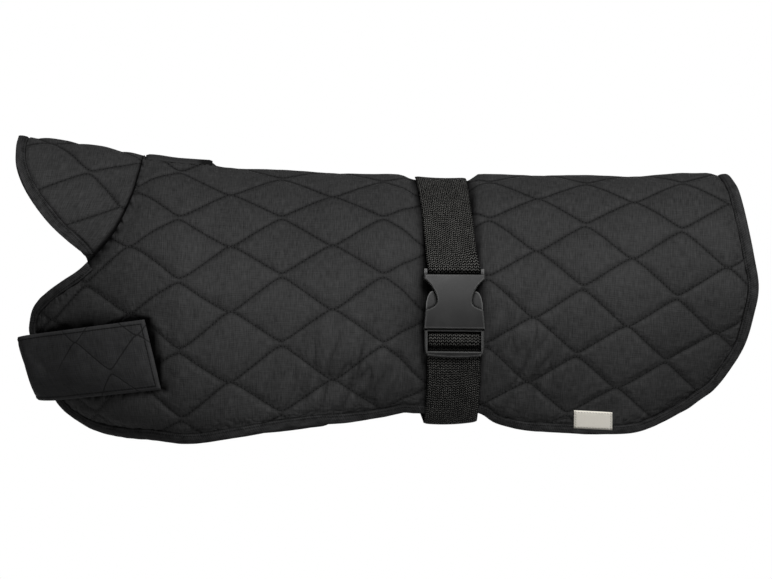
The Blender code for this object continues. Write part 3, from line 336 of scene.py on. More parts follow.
class Form:
    """The general figure that the coat keeps the shape of, over station x and signed arc s from the spine."""

    def __init__(self):
        self.x = np.arange(FORM[0][0], FORM[-1][0] + 1.0)
        self.arc = np.arange(0.0, 301.0)
        knots = column(FORM, FORM_COLUMNS, "x")
        at = {
            name: smooth(self.x, knots, column(FORM, FORM_COLUMNS, name))[:, None]
            for name in FORM_COLUMNS[1:]
        }
        s = self.arc[None, :]
        lean = at["tilt"] * (1 - s / at["reach"])
        lean = np.where(lean < 0, UNDER_LIMIT * np.tanh(lean / UNDER_LIMIT), lean)
        lean = lean + (90 - at["tilt"]) * np.exp(-s / RIDGE)
        lean = lean - at["curl"] * np.clip((s - CURL_FROM) / (CURL_TO - CURL_FROM), 0, 1.3) ** 2
        depth, out = self.summed(np.cos(np.radians(lean))), self.summed(np.sin(np.radians(lean)))
        nose = smooth(s, column(NOSE, NOSE_COLUMNS, "arc"), column(NOSE, NOSE_COLUMNS, "x"))
        chest = np.clip((CHEST_FROM - self.x[:, None]) / (CHEST_FROM - nose), 0, 1)
        wide = out / out.max(axis=1, keepdims=True) * at["half"] * (1 - chest**CHEST_POWER)
        front = np.clip((SHOULDER - self.x[:, None]) / CHEST_DROP_OVER, 0, 1)
        drop = CHEST_DROP * front * np.sin(np.pi * np.clip(s / CHEST_DROP_ARC, 0, 1))
        height = at["spine"] - depth - drop
        self.wide, self.height = wide, height
        run = np.hypot(1.0, np.hypot(np.diff(wide, axis=0), np.diff(height, axis=0)))
        self.run = np.vstack([np.zeros((1, len(self.arc))), np.cumsum(run, axis=0)])
        self.run -= self.run[int(COLUMN_AT - self.x[0])][None, :]
        self.p = np.arange(np.floor(self.run.min()), np.ceil(self.run.max()) + 1)
        self.x_at = np.stack(
            [np.interp(self.p, self.run[:, i], self.x) for i in range(len(self.arc))], axis=1
        )

    @staticmethod
    def summed(values):
        steps = (values[:, 1:] + values[:, :-1]) / 2
        return np.hstack([np.zeros((len(values), 1)), np.cumsum(steps, axis=1)])

    @staticmethod
    def read(grid, first, a, b):
        """The grid's value at a along its first axis, which starts at first, and b along its second."""
        i = np.clip(a - first, 0, grid.shape[0] - 1.001)
        j = np.clip(b, 0, grid.shape[1] - 1.001)
        m, n = i.astype(int), j.astype(int)
        f, g = i - m, j - n
        low = grid[m, n] * (1 - g) + grid[m, n + 1] * g
        high = grid[m + 1, n] * (1 - g) + grid[m + 1, n + 1] * g
        return low * (1 - f) + high * f

    def at(self, x, s):
        x, s = np.broadcast_arrays(np.asarray(x, float), np.asarray(s, float))
        wide = self.read(self.wide, self.x[0], x, abs(s))
        return np.stack([x, np.sign(s) * wide, self.read(self.height, self.x[0], x, abs(s))], axis=-1)

    def normal(self, x, s, step=2.0):
        x, s = np.broadcast_arrays(np.asarray(x, float), np.asarray(s, float))
        along = self.at(x + step, s) - self.at(x - step, s)
        round_it = self.at(x, s + step) - self.at(x, s - step)
        return unit(np.cross(along, round_it))

    def raised(self, x, s, lift):
        return self.at(x, s) + np.asarray(lift)[..., None] * self.normal(x, s)

    def flat(self, xs):
        """(x, s) as cloth coordinates: length along the coat, and arc."""
        return np.stack([self.read(self.run, self.x[0], xs[:, 0], abs(xs[:, 1])), xs[:, 1]], axis=1)

    def unflat(self, ps):
        return self.read(self.x_at, self.p[0], ps[:, 0], abs(ps[:, 1])), ps[:, 1]

    def arc_at(self, x, z):
        """The arc at which the form passes height z at station x."""
        i = int(np.clip(round(x - self.x[0]), 0, len(self.x) - 1))
        return float(np.interp(-z, -self.height[i], self.arc))


form = Form()


def wave(p, row):
    """Arc of one zigzag row at length p: it swings between its two columns' crossings."""
    swing = np.arcsin(WAVE_SHARPNESS * np.cos(np.pi * p / COLUMN)) / np.arcsin(WAVE_SHARPNESS)
    even = np.where(np.asarray(row) % 2 == 0, 1.0, -1.0)
    return ROW * (row + 0.5) - even * (WAVE_SWING * swing + WAVE_LEAN)


def drift(p, arc):
    """How far the even quilting lies off its stitches at cloth coordinates, along the coat and round it."""
    rear = ease(p, REAR_FROM, REAR_FULL)
    low, back = (abs(arc) / 200.0) ** 3, p - REAR_ORIGIN
    along = rear * (REAR_SHIFT + REAR_DRAW * back + low * (LOW_SHIFT + LOW_DRAW * back))
    return along - CHEST_SPREAD * np.minimum(p, 0.0), np.sign(arc) * rear * LOW_RISE * low


def drawn(p, arc):
    """Cloth coordinates of a point of the even quilting."""
    at = p, arc
    for _ in range(12):
        along, round_it = drift(*at)
        at = p - along, arc - round_it
    return at


def puff(p, arc):
    """From 0 on a stitched row of even quilting to 1 in the middle of a diamond."""
    arc = abs(arc)
    row = np.floor(arc / ROW + 0.5)
    for _ in range(2):
        row = np.where(arc < wave(p, row - 1), row - 1, row)
        row = np.where(arc >= wave(p, row), row + 1, row)
    low = np.where(row <= 0, -wave(p, np.zeros_like(row)), wave(p, row - 1))
    high = wave(p, np.maximum(row, 0))
    width = np.maximum(high - low, 1e-6)
    across = np.clip((arc - low) / width, 0, 1)
    return (4 * across * (1 - across)) ** PUFF_POWER * np.clip(width / (2 * ROW), 0, 1) ** PUFF_POWER


class Outline:
    """A closed cut edge in the flat, counter-clockwise, and how far inside it a point lies."""

    def __init__(self, points, bound):
        self.points, self.bound = points, bound

    def depth(self, at):
        a, b = self.points, np.roll(self.points, -1, axis=0)
        edge = b - a
        inside = np.zeros(len(at), bool)
        nearest = np.full(len(at), 1e9)
        for start, run, end in zip(a, edge, b):
            t = np.clip(((at - start) @ run) / (run @ run), 0, 1)
            nearest = np.minimum(nearest, np.linalg.norm(at - start - t[:, None] * run, axis=1))
            crosses = (start[1] > at[:, 1]) != (end[1] > at[:, 1])
            with np.errstate(divide="ignore", invalid="ignore"):
                meets = start[0] + (at[:, 1] - start[1]) * run[0] / run[1]
            inside ^= crosses & (at[:, 0] < meets)
        return np.where(inside, nearest, -nearest)


def belt_middle(y):
    """Station of the belt's middle line where it passes y to the side."""
    return BELT_AT + BELT_SLANT * (np.hypot(y, BELT_TURN) - BELT_TURN)


def panel_outline():
    """The back panel's cut edge, and its collar seam from the near foot to the far one."""
    near = np.array([(x, -arc) for x, arc in HEM], float)
    far = near[-2::-1] * (1, -1)
    line = spline(np.vstack([near, far]))
    lower = ease(line[:, 0], *FAR_HEM_FROM) * (1 - ease(line[:, 0], *FAR_HEM_TO))
    line[:, 1] += np.where(line[:, 1] > 200, FAR_HEM_LOWER * lower, 0)
    hem = respaced(form.flat(line), EDGE_STEP)
    seam_near = np.array([(x, -arc) for x, arc in SEAM], float)
    seam_both = spline(np.vstack([seam_near, seam_near[-2::-1] * (1, -1)]))
    seam = respaced(form.flat(seam_both), EDGE_STEP)
    points = np.vstack([hem, seam[-2:0:-1]])
    return Outline(points, np.arange(len(hem))), seam


def pressed(lift, away, reach, held):
    """The lift held down where something lies on the cloth, and free again at reach beyond it."""
    return np.minimum(lift, held + (AT_PUFF - held) * ease(away, 1.0, reach))


def panel_lift(ps):
    """Thickness of the back panel at cloth coordinates: quilted, but flat along edges and under straps."""
    x, s = form.unflat(ps)
    at = form.at(x, s)
    inside = panel_edge.depth(ps)
    along, round_it = drift(*ps.T)
    quilted = AT_STITCH + (AT_PUFF - AT_STITCH) * puff(ps[:, 0] + along, ps[:, 1] + round_it)
    quilted = AT_RIDGE + (quilted - AT_RIDGE) * (0.3 + 0.7 * ease(abs(s), 4.0, 26.0))
    lift = AT_STITCH + (quilted - AT_STITCH) * ease(inside, 6.0, 15.0)
    to_seam = np.min(np.linalg.norm(ps[:, None] - seam_line[None], axis=2), axis=1)
    unbound = ease(inside, TAPE_WIDTH - 0.4, TAPE_WIDTH + 1.5)
    lift = np.where(to_seam > inside + 1.5, AT_EDGE + (lift - AT_EDGE) * unbound, lift)
    from_belt = abs(x - belt_middle(at[:, 1])) - BELT_WIDTH / 2
    lift = pressed(lift, from_belt - 4.0, 9.0, UNDER_BELT)
    upper = np.interp(x, *zip(*STRAP_UPPER[::-1]))
    lower = np.interp(x, *zip(*STRAP_LOWER[::-1]))
    from_strap = np.maximum.reduce([at[:, 2] - upper, lower - at[:, 2], x - STRAP_LOWER[0][0]])
    lift = pressed(lift, from_strap - 3.0, 9.0, UNDER_STRAP)
    from_flap = np.maximum.reduce([FLAP_X[0] - x, x - FLAP_X[1], abs(s) - FLAP_HALF])
    lift = pressed(lift, from_flap, 12.0, UNDER_FLAP)
    from_label = np.maximum.reduce(
        [LABEL_X[0] - x, x - LABEL_X[1], LABEL_ARC[0] + s, -s - LABEL_ARC[1]]
    )
    return pressed(lift, from_label - 3.0, 9.0, UNDER_LABEL)


class Collar:
    """The collar's flat: q from its front edge to the seam at 0, b round the neck from foot to foot."""

    def __init__(self):
        x, s = form.unflat(seam_line)
        self.seam, self.seam_normal = form.at(x - GAP, s), form.normal(x, s)
        far = spline(np.array(COLLAR_EDGE, float))
        near = far[1:] * (1, -1, 1)
        self.edge = respaced(np.vstack([near[::-1], far]), 1.0)
        self.tall = lengths(self.seam)[-1] / 2
        self.seam_w = lengths(self.seam) / self.tall - 1
        self.edge_w = np.linspace(-1, 1, len(self.edge))
        self.reach = np.linalg.norm(self.at_seam(self.edge_w) - self.edge, axis=1)
        rim = np.linspace(1, -1, int(round(2 * self.tall / EDGE_STEP)) + 2)
        front = np.stack([-self.reach_at(rim), rim * self.tall], axis=1)
        back = np.stack([np.zeros(len(self.seam_w)), self.seam_w * self.tall], axis=1)
        points = np.vstack([back, front])
        self.outline = Outline(points, np.arange(len(back), len(points)))

    def at_seam(self, w):
        """The seam at w, from -1 at the near foot to 1 at the far one."""
        return np.stack([np.interp(w, self.seam_w, self.seam[:, k]) for k in range(3)], axis=-1)

    def reach_at(self, w):
        return np.interp(w, self.edge_w, self.reach)

    def at(self, flat):
        w = flat[:, 1] / self.tall
        v = np.clip(-flat[:, 0] / np.maximum(self.reach_at(w), 1e-6), 0, 1)[:, None]
        front = np.stack([np.interp(w, self.edge_w, self.edge[:, k]) for k in range(3)], axis=-1)
        rise = COLLAR_RISE * (4 * v * (1 - v)) * np.clip(1 - abs(w), 0, 1)[:, None]
        return self.at_seam(w) * (1 - v) + front * v + rise * np.array([0, 0, 1.0])

    def normal(self, flat, step=1.5):
        w = flat[:, 1] / self.tall
        reach = np.maximum(self.reach_at(w), 1e-6)
        v = np.clip(-flat[:, 0] / reach, 0, 1)
        w_in = np.clip(w, -0.93, 0.93)
        base = np.stack([-v * self.reach_at(w_in), w_in * self.tall], axis=1)
        along = self.at(base + (step, 0)) - self.at(base - (step, 0))
        up = self.at(base + (0, step)) - self.at(base - (0, step))
        own = unit(np.cross(along, up))
        seam = np.stack([np.interp(w, self.seam_w, self.seam_normal[:, k]) for k in range(3)], -1)
        blend = ease(-flat[:, 0], 0.0, 16.0)[:, None]
        return unit(seam * (1 - blend) + own * blend)

    def quilt(self, flat):
        """Cloth coordinates of the quilting, which runs aslant on the collar."""
        at = np.stack([flat[:, 0], abs(flat[:, 1])], axis=1) - (COLLAR_QUILT_AT[0], -COLLAR_QUILT_AT[1])
        c, s = np.cos(COLLAR_QUILT_TURN), np.sin(COLLAR_QUILT_TURN)
        return c * at[:, 0] + s * at[:, 1] + COLUMN, c * at[:, 1] - s * at[:, 0] + 3 * ROW

    def lift(self, flat):
        quilted = AT_STITCH + (AT_PUFF - 1.2 - AT_STITCH) * puff(*self.quilt(flat))
        full = AT_SEAM + (quilted - AT_SEAM) * ease(-flat[:, 0], 2.0, 16.0)
        front = np.min(
            np.linalg.norm(flat[:, None] - self.outline.points[self.outline.bound][None], axis=2), axis=1
        )
        bound = ease(front, TAPE_WIDTH - 1.2, TAPE_WIDTH + 0.8)
        return AT_EDGE + (full - AT_EDGE) * bound

    def raised(self, flat, lift):
        return self.at(flat) + np.asarray(lift)[..., None] * self.normal(flat)


def strap_surface():
    """(points, normals) of the chest strap's inside: rows across it, steps along it from its near end."""
    rows = []
    for r in np.linspace(0, 1, STRAP_ROWS):
        (end_x, end_z), (nose_x, nose_z) = [
            (1 - r) * np.array(up, float) + r * np.array(low, float)
            for up, low in zip(STRAP_UPPER, STRAP_LOWER)
        ]
        leave = nose_x + STRAP_LEAVES
        xs = np.linspace(end_x, leave, STRAP_SIDE_STEPS)
        zs = np.interp(xs, (nose_x, end_x), (nose_z, end_z))
        arcs = np.array([form.arc_at(x, z) for x, z in zip(xs, zs)])
        side = form.raised(xs, -arcs, np.full(len(xs), STRAP_LIFT))
        start, run = side[-1], unit(side[-1] - side[-2])
        tip = np.array([nose_x + STRAP_THIN + STRAP_PUFF, 0.0, nose_z])
        reach = np.linalg.norm(tip - start)
        hold = start + run * reach * STRAP_HOLD[0], tip - np.array([0, reach * STRAP_HOLD[1], 0])
        t = (np.arange(1, STRAP_TURN_STEPS + 1) / STRAP_TURN_STEPS)[:, None]
        turn = (
            (1 - t) ** 3 * start
            + 3 * (1 - t) ** 2 * t * hold[0]
            + 3 * (1 - t) * t**2 * hold[1]
            + t**3 * tip
        )
        near = np.vstack([side, turn])
        mirrored = near[-2::-1] * (1, -1, 1)
        run = lengths(mirrored)
        keep = run <= run[STRAP_TURN_STEPS - 1] + STRAP_FAR_LAP
        rows.append(np.vstack([near, mirrored[keep]]))
    shortest = min(len(row) for row in rows)
    points = np.array([row[:shortest] for row in rows])
    across = np.gradient(points, axis=0)
    along = np.gradient(points, axis=1)
    return points, unit(np.cross(along, across))


def strap_quilt(run, across):
    """The even quilting's coordinates on the strap, where its diamonds are smaller."""
    (along, round_it), (start, low) = STRAP_QUILT_SCALE, STRAP_QUILT_AT
    return run * along + start, across * round_it + low


class BuckleFrame:
    """Where the buckle lies: flat against the side of the coat, in line with the belt."""

    def __init__(self):
        y = form.at(0.0, -BUCKLE_ARC)[1]
        x = belt_middle(y)
        self.out = form.normal(x, -BUCKLE_ARC)
        up = form.at(x, -BUCKLE_ARC + 20) - form.at(x, -BUCKLE_ARC - 20)
        up = up - (up @ self.out) * self.out
        self.up = up / np.linalg.norm(up)
        self.along = np.cross(self.up, self.out)
        self.origin = form.at(x, -BUCKLE_ARC) + BUCKLE_LIFT * self.out

    def place(self, u, v, w):
        u, v, w = np.broadcast_arrays(u, v, w)
        return (
            self.origin + u[..., None] * self.along + v[..., None] * self.up + w[..., None] * self.out
        )


def standing_off(distance, height):
    """Extra lift of webbing that leaves the round form in a straight line to stand height off it."""
    start = np.sqrt(2 * BUCKLE_BEND_RADIUS * height)
    return np.clip(start - distance, 0, None) ** 2 / (2 * BUCKLE_BEND_RADIUS)


def belt_path(frame):
    """(points, normals) of the belt's middle surface, from the buckle's top round to its foot."""
    edges = np.array([-1.0, 0.0, 1.0]) * BELT_WIDTH / 2
    half = BELT_THICK / 2
    top = BUCKLE_ARC - WEBBING_AT_TOP[-1][0]
    foot = BUCKLE_ARC - WEBBING_AT_FOOT[0][0]
    off_form = HORN_TOP**2 / (2 * BUCKLE_BEND_RADIUS) + BUCKLE_LIFT - BELT_LIFT - half
    top_off, foot_off = off_form + np.array(BELT_STANDS)

    def on_side(arcs, side, height, from_arc):
        base = form.at(0.0, side * arcs)[:, 1]
        xs = belt_middle(base)[:, None] + edges[None, :]
        s = (side * arcs)[:, None] + np.zeros((1, 3))
        off = standing_off(abs(arcs - from_arc), height)
        lift = (BELT_LIFT + half + off)[:, None] + np.zeros((1, 3))
        return form.raised(xs, s, lift)

    def through_buckle(table):
        v, w = np.array(table).T
        return frame.place(edges[None, :], v[:, None], w[:, None])

    far = np.linspace(0, HEM_ARC_AT_BELT, int(HEM_ARC_AT_BELT / BELT_STEP) + 1)
    upper = on_side(np.arange(top - BELT_REJOINS, 0, -BELT_STEP), -1, top_off, top)
    across = on_side(far, 1, 0.0, 0.0)
    low = np.arange(HEM_ARC_AT_BELT, foot + BELT_REJOINS, -BELT_STEP)
    lower = on_side(low, -1, foot_off, foot)
    belly = belly_turn(across[-1], across[-2], lower[0], lower[1])
    points = np.vstack(
        [through_buckle(WEBBING_AT_TOP), upper, across, belly, lower, through_buckle(WEBBING_AT_FOOT)]
    )
    along = np.gradient(points, axis=0)
    side = np.gradient(points, axis=1)
    return points, unit(np.cross(side, along))


def belly_turn(start, before, end, after):
    """The belt under the belly, where no cloth is: a smooth hang between the two hems."""
    t = (np.arange(1, BELLY_STEPS + 1) / (BELLY_STEPS + 1))[:, None, None]
    first = start + unit(start - before) * BELLY_LEAD
    last = end + unit(end - after) * BELLY_LEAD
    line = (1 - t) ** 3 * start + 3 * (1 - t) ** 2 * t * first + 3 * (1 - t) * t**2 * last + t**3 * end
    lowest = line[:, :, 2].min()
    hang = 4 * t[:, :, 0] * (1 - t[:, :, 0])
    line[:, :, 2] += (BELT_THICK - BELLY_DROP - lowest) * hang
    return line


panel_edge, seam_line = panel_outline()
collar_shape = Collar()
buckle_frame = BuckleFrame()


class Value:
    """A shader socket that takes part in arithmetic, each step adding a Math node."""

    def __init__(self, look, socket):
        self.look, self.socket = look, socket

    def math(self, operation, *values):
        """A Math node of the same look on the values given."""
        return self.look.node("ShaderNodeMath", {"operation": operation}, values)

    def __add__(self, other):
        return self.math("ADD", self, other)

    def __sub__(self, other):
        return self.math("SUBTRACT", self, other)

    def __rsub__(self, other):
        return self.math("SUBTRACT", other, self)

    def __mul__(self, other):
        return self.math("MULTIPLY", self, other)

    def __truediv__(self, other):
        return self.math("DIVIDE", self, other)

    def __abs__(self):
        return self.math("ABSOLUTE", self)

    __radd__, __rmul__ = __add__, __mul__

    def below(self, edge, soft):
        """1 where the value lies well below the edge, 0 above it."""
        return self.look.node(
            "ShaderNodeMapRange",
            {"interpolation_type": "SMOOTHSTEP"},
            (self, edge - soft, edge + soft, 1.0, 0.0),
        )

    def above(self, edge, soft):
        """1 where the value lies well above the edge, 0 below it."""
        return 1.0 - self.below(edge, soft)

    def back_and_forth(self, half_period):
        return self.math("PINGPONG", self, half_period)

    def larger(self, other):
        return self.math("MAXIMUM", self, other)

    def smaller(self, other):
        return self.math("MINIMUM", self, other)


class Look:
    """A procedural material under way."""

    def __init__(self, name, **sockets):
        self.material = bpy.data.materials.new(name)
        self.material.use_nodes = True
        self.shader = self.material.node_tree.nodes["Principled BSDF"]
        for socket, value in sockets.items():
            self.shader.inputs[socket.replace("_", " ")].default_value = value

    def node(self, kind, settings=None, values=(), out=0):
        """One output of a new node, its settings made before its sockets' values and links."""
        made = self.material.node_tree.nodes.new(kind)
        for name, value in (settings or {}).items():
            setattr(made, name, value)
        for key, value in values.items() if isinstance(values, dict) else enumerate(values):
            if isinstance(value, Value):
                self.material.node_tree.links.new(value.socket, made.inputs[key])
            else:
                made.inputs[key].default_value = value
        return Value(self, made.outputs[out])

    def cloth_place(self, layer="cloth"):
        """Cloth coordinates of the piece in millimetres, along it and across it."""
        flat = self.node("ShaderNodeUVMap", {"uv_map": layer})
        axes = [self.node("ShaderNodeSeparateXYZ", values=(flat,), out=i) for i in (0, 1)]
        return [axis * 1000.0 for axis in axes]

    def kept(self, name):
        """A value kept at the piece's points."""
        return self.node("ShaderNodeAttribute", {"attribute_name": name}, out=2)

    def noise(self, along, across, other=0.0, detail=2.0, roughness=0.5):
        """Cloudy value around 0.5, over coordinates in units of its grain."""
        at = self.node("ShaderNodeCombineXYZ", values=(along, across, other))
        return self.node(
            "ShaderNodeTexNoise",
            values={"Vector": at, "Scale": 1.0, "Detail": detail, "Roughness": roughness},
        )

    def blend(self, first, second, factor, mode="MIX"):
        """From the first colour where the factor is 0 to the second where it is 1."""
        first, second = [c if isinstance(c, Value) else (*c, 1.0) for c in (first, second)]
        settings = {"data_type": "RGBA", "blend_type": mode}
        return self.node("ShaderNodeMix", settings, {"Factor": factor, 6: first, 7: second}, out=2)

    def darkened(self, colour, factor, left=0.1):
        """The colour, multiplied by what is left of it where the factor is 1."""
        return self.blend(colour, (left, left, left), factor, "MULTIPLY")

    def finish(self, colour=None, roughness=None, height=None, distance=0.0003, strength=1.0):
        links = self.material.node_tree.links
        if colour is not None:
            links.new(colour.socket, self.shader.inputs["Base Color"])
        if roughness is not None:
            links.new(roughness.socket, self.shader.inputs["Roughness"])
        if height is not None:
            bump = self.node(
                "ShaderNodeBump", values={"Strength": strength, "Distance": distance, "Height": height}
            )
            links.new(bump.socket, self.shader.inputs["Normal"])
        return self.material


def shade(colour, factor):
    return tuple(channel * factor for channel in colour)


def quilt_distance(look, p, arc):
    """How far cloth coordinates lie from the nearest stitched row, measured round the body."""
    turn = p * (np.pi / COLUMN)
    bow = turn.math("COSINE", turn) * WAVE_SHARPNESS
    swing = bow.math("ARCSINE", bow) * (WAVE_SWING / np.arcsin(WAVE_SHARPNESS)) + WAVE_LEAN
    even = (arc + swing - 0.5 * ROW).back_and_forth(ROW)
    odd = (arc - swing - 1.5 * ROW).back_and_forth(ROW)
    return even.smaller(odd)


def slub_cloth(look, p, s):
    """Height of plain woven cloth with thicker threads here and there: around 0.5."""
    upright = look.noise(p / 0.8, s / 8.5, detail=1.0)
    crosswise = look.noise(p / 9.0, s / 0.8, other=7.0, detail=1.0)
    weave = p.back_and_forth(0.76) + s.back_and_forth(0.78)
    return upright * 0.68 + crosswise * 0.36 + (weave - 0.77) * 0.12


def quilted_look(name, sizes):
    """Quilted cloth: slubbed threads, stitched rows in their valleys, puckers and creases, with painted shade
    in the valleys, creases and gathers and in the gaps beside seams, strap and belt.

    Distances are in millimetres of cloth.
    """
    look = Look(name, Roughness=0.7, Specular_IOR_Level=0.04)
    p, s = look.cloth_place()
    along, arc = look.cloth_place("quilt")
    gap_shade, pull, loose = [look.kept(at) for at in ("crevice", "pulled", "gathered")]

    away = quilt_distance(look, along, abs(arc))
    line, valley = away.below(0.8, 0.55), away.below(1.9, 1.8)
    thread = away.below(0.42, 0.16) * along.back_and_forth(QUILT_STITCH / 2).below(0.95, 0.3)
    crease = look.noise((p + abs(s) * 0.3) / 17.0, s / 52.0, other=13.0, detail=1.0)
    gather = look.noise(p / 8.0, s / 8.0, other=17.0, detail=1.0)
    creases = abs(crease - 0.5).below(0.05, 0.05) * pull
    gathers = abs(gather - 0.5).below(0.025, 0.022) * loose

    threads = slub_cloth(look, p, s)
    cloud = look.noise(p / 42.0, s / 42.0, detail=3.0)
    blotch = look.noise(p / 6.0, s / 5.0, other=11.0, detail=3.0, roughness=0.6)
    tone = (threads - 0.5) * 1.6 + (cloud - 0.5) * 0.4 + (blotch - 0.5) * 0.5 + 0.5
    colours = look.blend(shade(sizes.cloth_colour, 0.5), shade(sizes.cloth_colour, 1.6), tone)
    # Painted shade: a dark line in each stitched row's valley with a lighter band of it beside, along the
    # belt's creases and in the gathers; after that, the painted shade kept for the gaps.
    depth = (line * 0.92).larger(valley * 0.42).larger(creases * 0.32).larger(gathers * 0.22)
    colours = look.darkened(look.darkened(colours, depth), gap_shade, 0.02)
    colours = look.blend(colours, shade(sizes.cloth_colour, 1.3), thread * (1.0 - gap_shade) * 0.5)

    pucker = look.noise(along / 3.0, arc / 3.4, other=3.0, detail=2.0) * away.below(7.5, 6.5)
    fold = look.noise(p / 7.0, s / 5.0, other=9.0, detail=2.0)
    swell = 1.0 - away.below(3.6, 3.5)
    height = threads * 0.14 + pucker * 1.6 + fold * 1.1 + thread * 0.5 + swell * 1.1
    height = height + abs(crease - 0.5) * pull * 24.0 + abs(gather - 0.5) * loose * 7.0
    rough = threads * 0.16 + gap_shade * 0.4 + 0.5
    return look.finish(colours, rough, height, distance=0.0007, strength=0.75)


def tape_look(name, colour):
    """Binding tape, streaked down its length, with its stitches along the inner edge."""
    look = Look(name, Roughness=0.75, Specular_IOR_Level=0.04)
    along, across = look.cloth_place()
    ribs = (along + across * 0.5).back_and_forth(0.85) / 0.85
    ragged = look.noise(along / 2.2, across / 6.0, other=8.0, detail=1.0)
    grain = look.noise(along / 0.8, across / 1.4, detail=2.0)
    streak = look.noise(along / 14.0, across / 0.8, other=6.0, detail=2.0)
    patch = look.noise(along / 7.0, across / 5.0, other=4.0, detail=2.0)
    edge = across.above(TAPE_WIDTH + 0.5, 0.45)
    stitch = along.back_and_forth(TAPE_STITCH / 2).below(1.05, 0.25)
    stitched = abs(across - (TAPE_WIDTH - 0.9)).below(0.45, 0.25) * stitch
    tone = (grain - 0.5) * 0.9 + (streak - 0.5) * 1.1 + (patch - 0.5) * 1.2 + (ribs - 0.5) * 0.5 + 0.5
    colours = look.blend(shade(colour, 0.35), shade(colour, 1.8), tone)
    # Darker over its inner half; painted shade in a ragged line along its inner edge, where it meets the
    # cloth, and the stitches' dark dots.
    colours = look.darkened(colours, across.above(TAPE_WIDTH * 0.5, 3.0) * 0.3)
    colours = look.darkened(colours, (edge * (ragged * 0.9 + 0.3)).larger(stitched * 0.5))
    height = ribs * 0.3 + grain * 0.6 + streak * 0.5 + stitched * 0.4
    return look.finish(colours, height=height, distance=0.0004, strength=0.6)


def webbing_look(sizes):
    """Herringbone webbing: light threads that lie aslant in columns, over the dark gaps between them."""
    look = Look("webbing_weave", Roughness=0.6, Specular_IOR_Level=0.06)
    along, across = look.cloth_place()
    aslant = across.back_and_forth(HERRINGBONE / 2) * 1.1
    strand = (along + aslant).back_and_forth(STRAND / 2)
    lane = across.back_and_forth(HERRINGBONE / 4) / (HERRINGBONE / 4)
    grain = look.noise(along / 1.5, across / 1.3, detail=2.0, roughness=0.7)
    patch = look.noise(along / 13.0, across / 9.0, other=5.0, detail=2.0)
    thread = strand * 0.9 + lane * 0.5 + (grain - 0.5) * 1.1
    # Painted shade: the lower stretch, which faces down, is a little darker.
    lower = along.above(BELT_SHADED_FROM, 12.0)
    tone = thread.above(0.97, 0.1) * (patch * 1.1 + 0.4) * (1.0 - lower * 0.25)
    colours = look.blend(shade(sizes.webbing_colour, 0.02), shade(sizes.webbing_colour, 5.6), tone)
    # Painted shade in the gaps round the buckle's bars.
    colours = look.darkened(colours, look.kept("crevice"), 0.02)
    return look.finish(colours, height=thread, distance=0.0008, strength=0.7)


def strap_look(sizes):
    """The strap's cloth: its quilting shows towards its near end, with a stitched, lighter rim."""
    look = Look("strap_weave", Roughness=0.72, Specular_IOR_Level=0.04)
    p, s = look.cloth_place()
    away = quilt_distance(look, *look.cloth_place("quilt"))
    line = away.below(0.7, 0.6) * p.below(80.0, 12.0)
    rim = (ROW - abs(s - ROW)).smaller(p)
    edge = abs(rim - 3.2).below(0.5, 0.4)
    lip = rim.below(2.6, 0.5)
    stitch = (p + s).back_and_forth(STRAP_STITCH / 2).below(1.0, 0.25)
    threads = slub_cloth(look, p, s)
    blotch = look.noise(p / 9.0, s / 7.0, other=2.0, detail=3.0)
    tone = (threads - 0.5) * 1.5 + (blotch - 0.5) * 0.7 + lip * 0.12 + 0.5
    colours = look.blend(shade(sizes.strap_colour, 0.6), shade(sizes.strap_colour, 1.5), tone)
    # Painted shade in the quilting's valleys towards the near end, and along the topstitching's groove, with
    # the stitches darker still.
    colours = look.darkened(colours, (line * 0.6).larger(edge * (stitch * 0.3 + 0.45)))
    height = threads * 0.3 - line * 0.5 - edge * 0.5 + blotch
    return look.finish(colours, threads * 0.16 + 0.54, height, distance=0.0005, strength=0.6)


def plastic_look(sizes):
    """Moulded plastic with a fine grain and crowned faces, painted highlights along its rounded edges and
    painted shade in its gaps.
    """
    look = Look("buckle_plastic", Specular_IOR_Level=0.2)
    at = look.node("ShaderNodeTexCoord", out=3)
    across, up = [look.node("ShaderNodeSeparateXYZ", values=(at,), out=i) for i in (0, 2)]
    across = (across - buckle_frame.origin[0] * MM) * 1000.0
    up = (up - (buckle_frame.origin[2] - CROWN_BELOW) * MM) * 1000.0
    grain = look.node(
        "ShaderNodeTexNoise", values={"Vector": at, "Scale": 1900.0, "Detail": 2.0, "Roughness": 0.6}
    )
    cloud = look.node("ShaderNodeTexNoise", values={"Vector": at, "Scale": 90.0, "Detail": 3.0})
    rounded = look.node("ShaderNodeBevel", {"samples": 8}, {"Radius": 0.0022})
    face = look.node("ShaderNodeNewGeometry", out=3)
    even = look.node("ShaderNodeVectorMath", {"operation": "DOT_PRODUCT"}, (rounded, face), out=1)
    # Painted highlight along the moulded edges, where the rounded normal turns from the face.
    rim = even.below(0.965, 0.03)
    # Painted shade in the narrow gaps, found by ambient occlusion.
    open_air = look.node("ShaderNodeAmbientOcclusion", {"samples": 8}, {"Distance": 0.003}, out=1)
    gap_shade = open_air.below(0.7, 0.28)
    tone = grain * 0.2 + cloud * 0.3 - 0.24 + rim * 0.95
    colours = look.blend(shade(sizes.buckle_colour, 0.6), shade(sizes.buckle_colour, 11.0), tone)
    colours = look.darkened(colours, gap_shade, 0.05)
    height = grain * 0.014 + across * across * 0.0006 - up * up * 0.0017 + up * 0.012
    return look.finish(colours, cloud * 0.14 + gap_shade * 0.6 + 0.32, height, distance=MM)


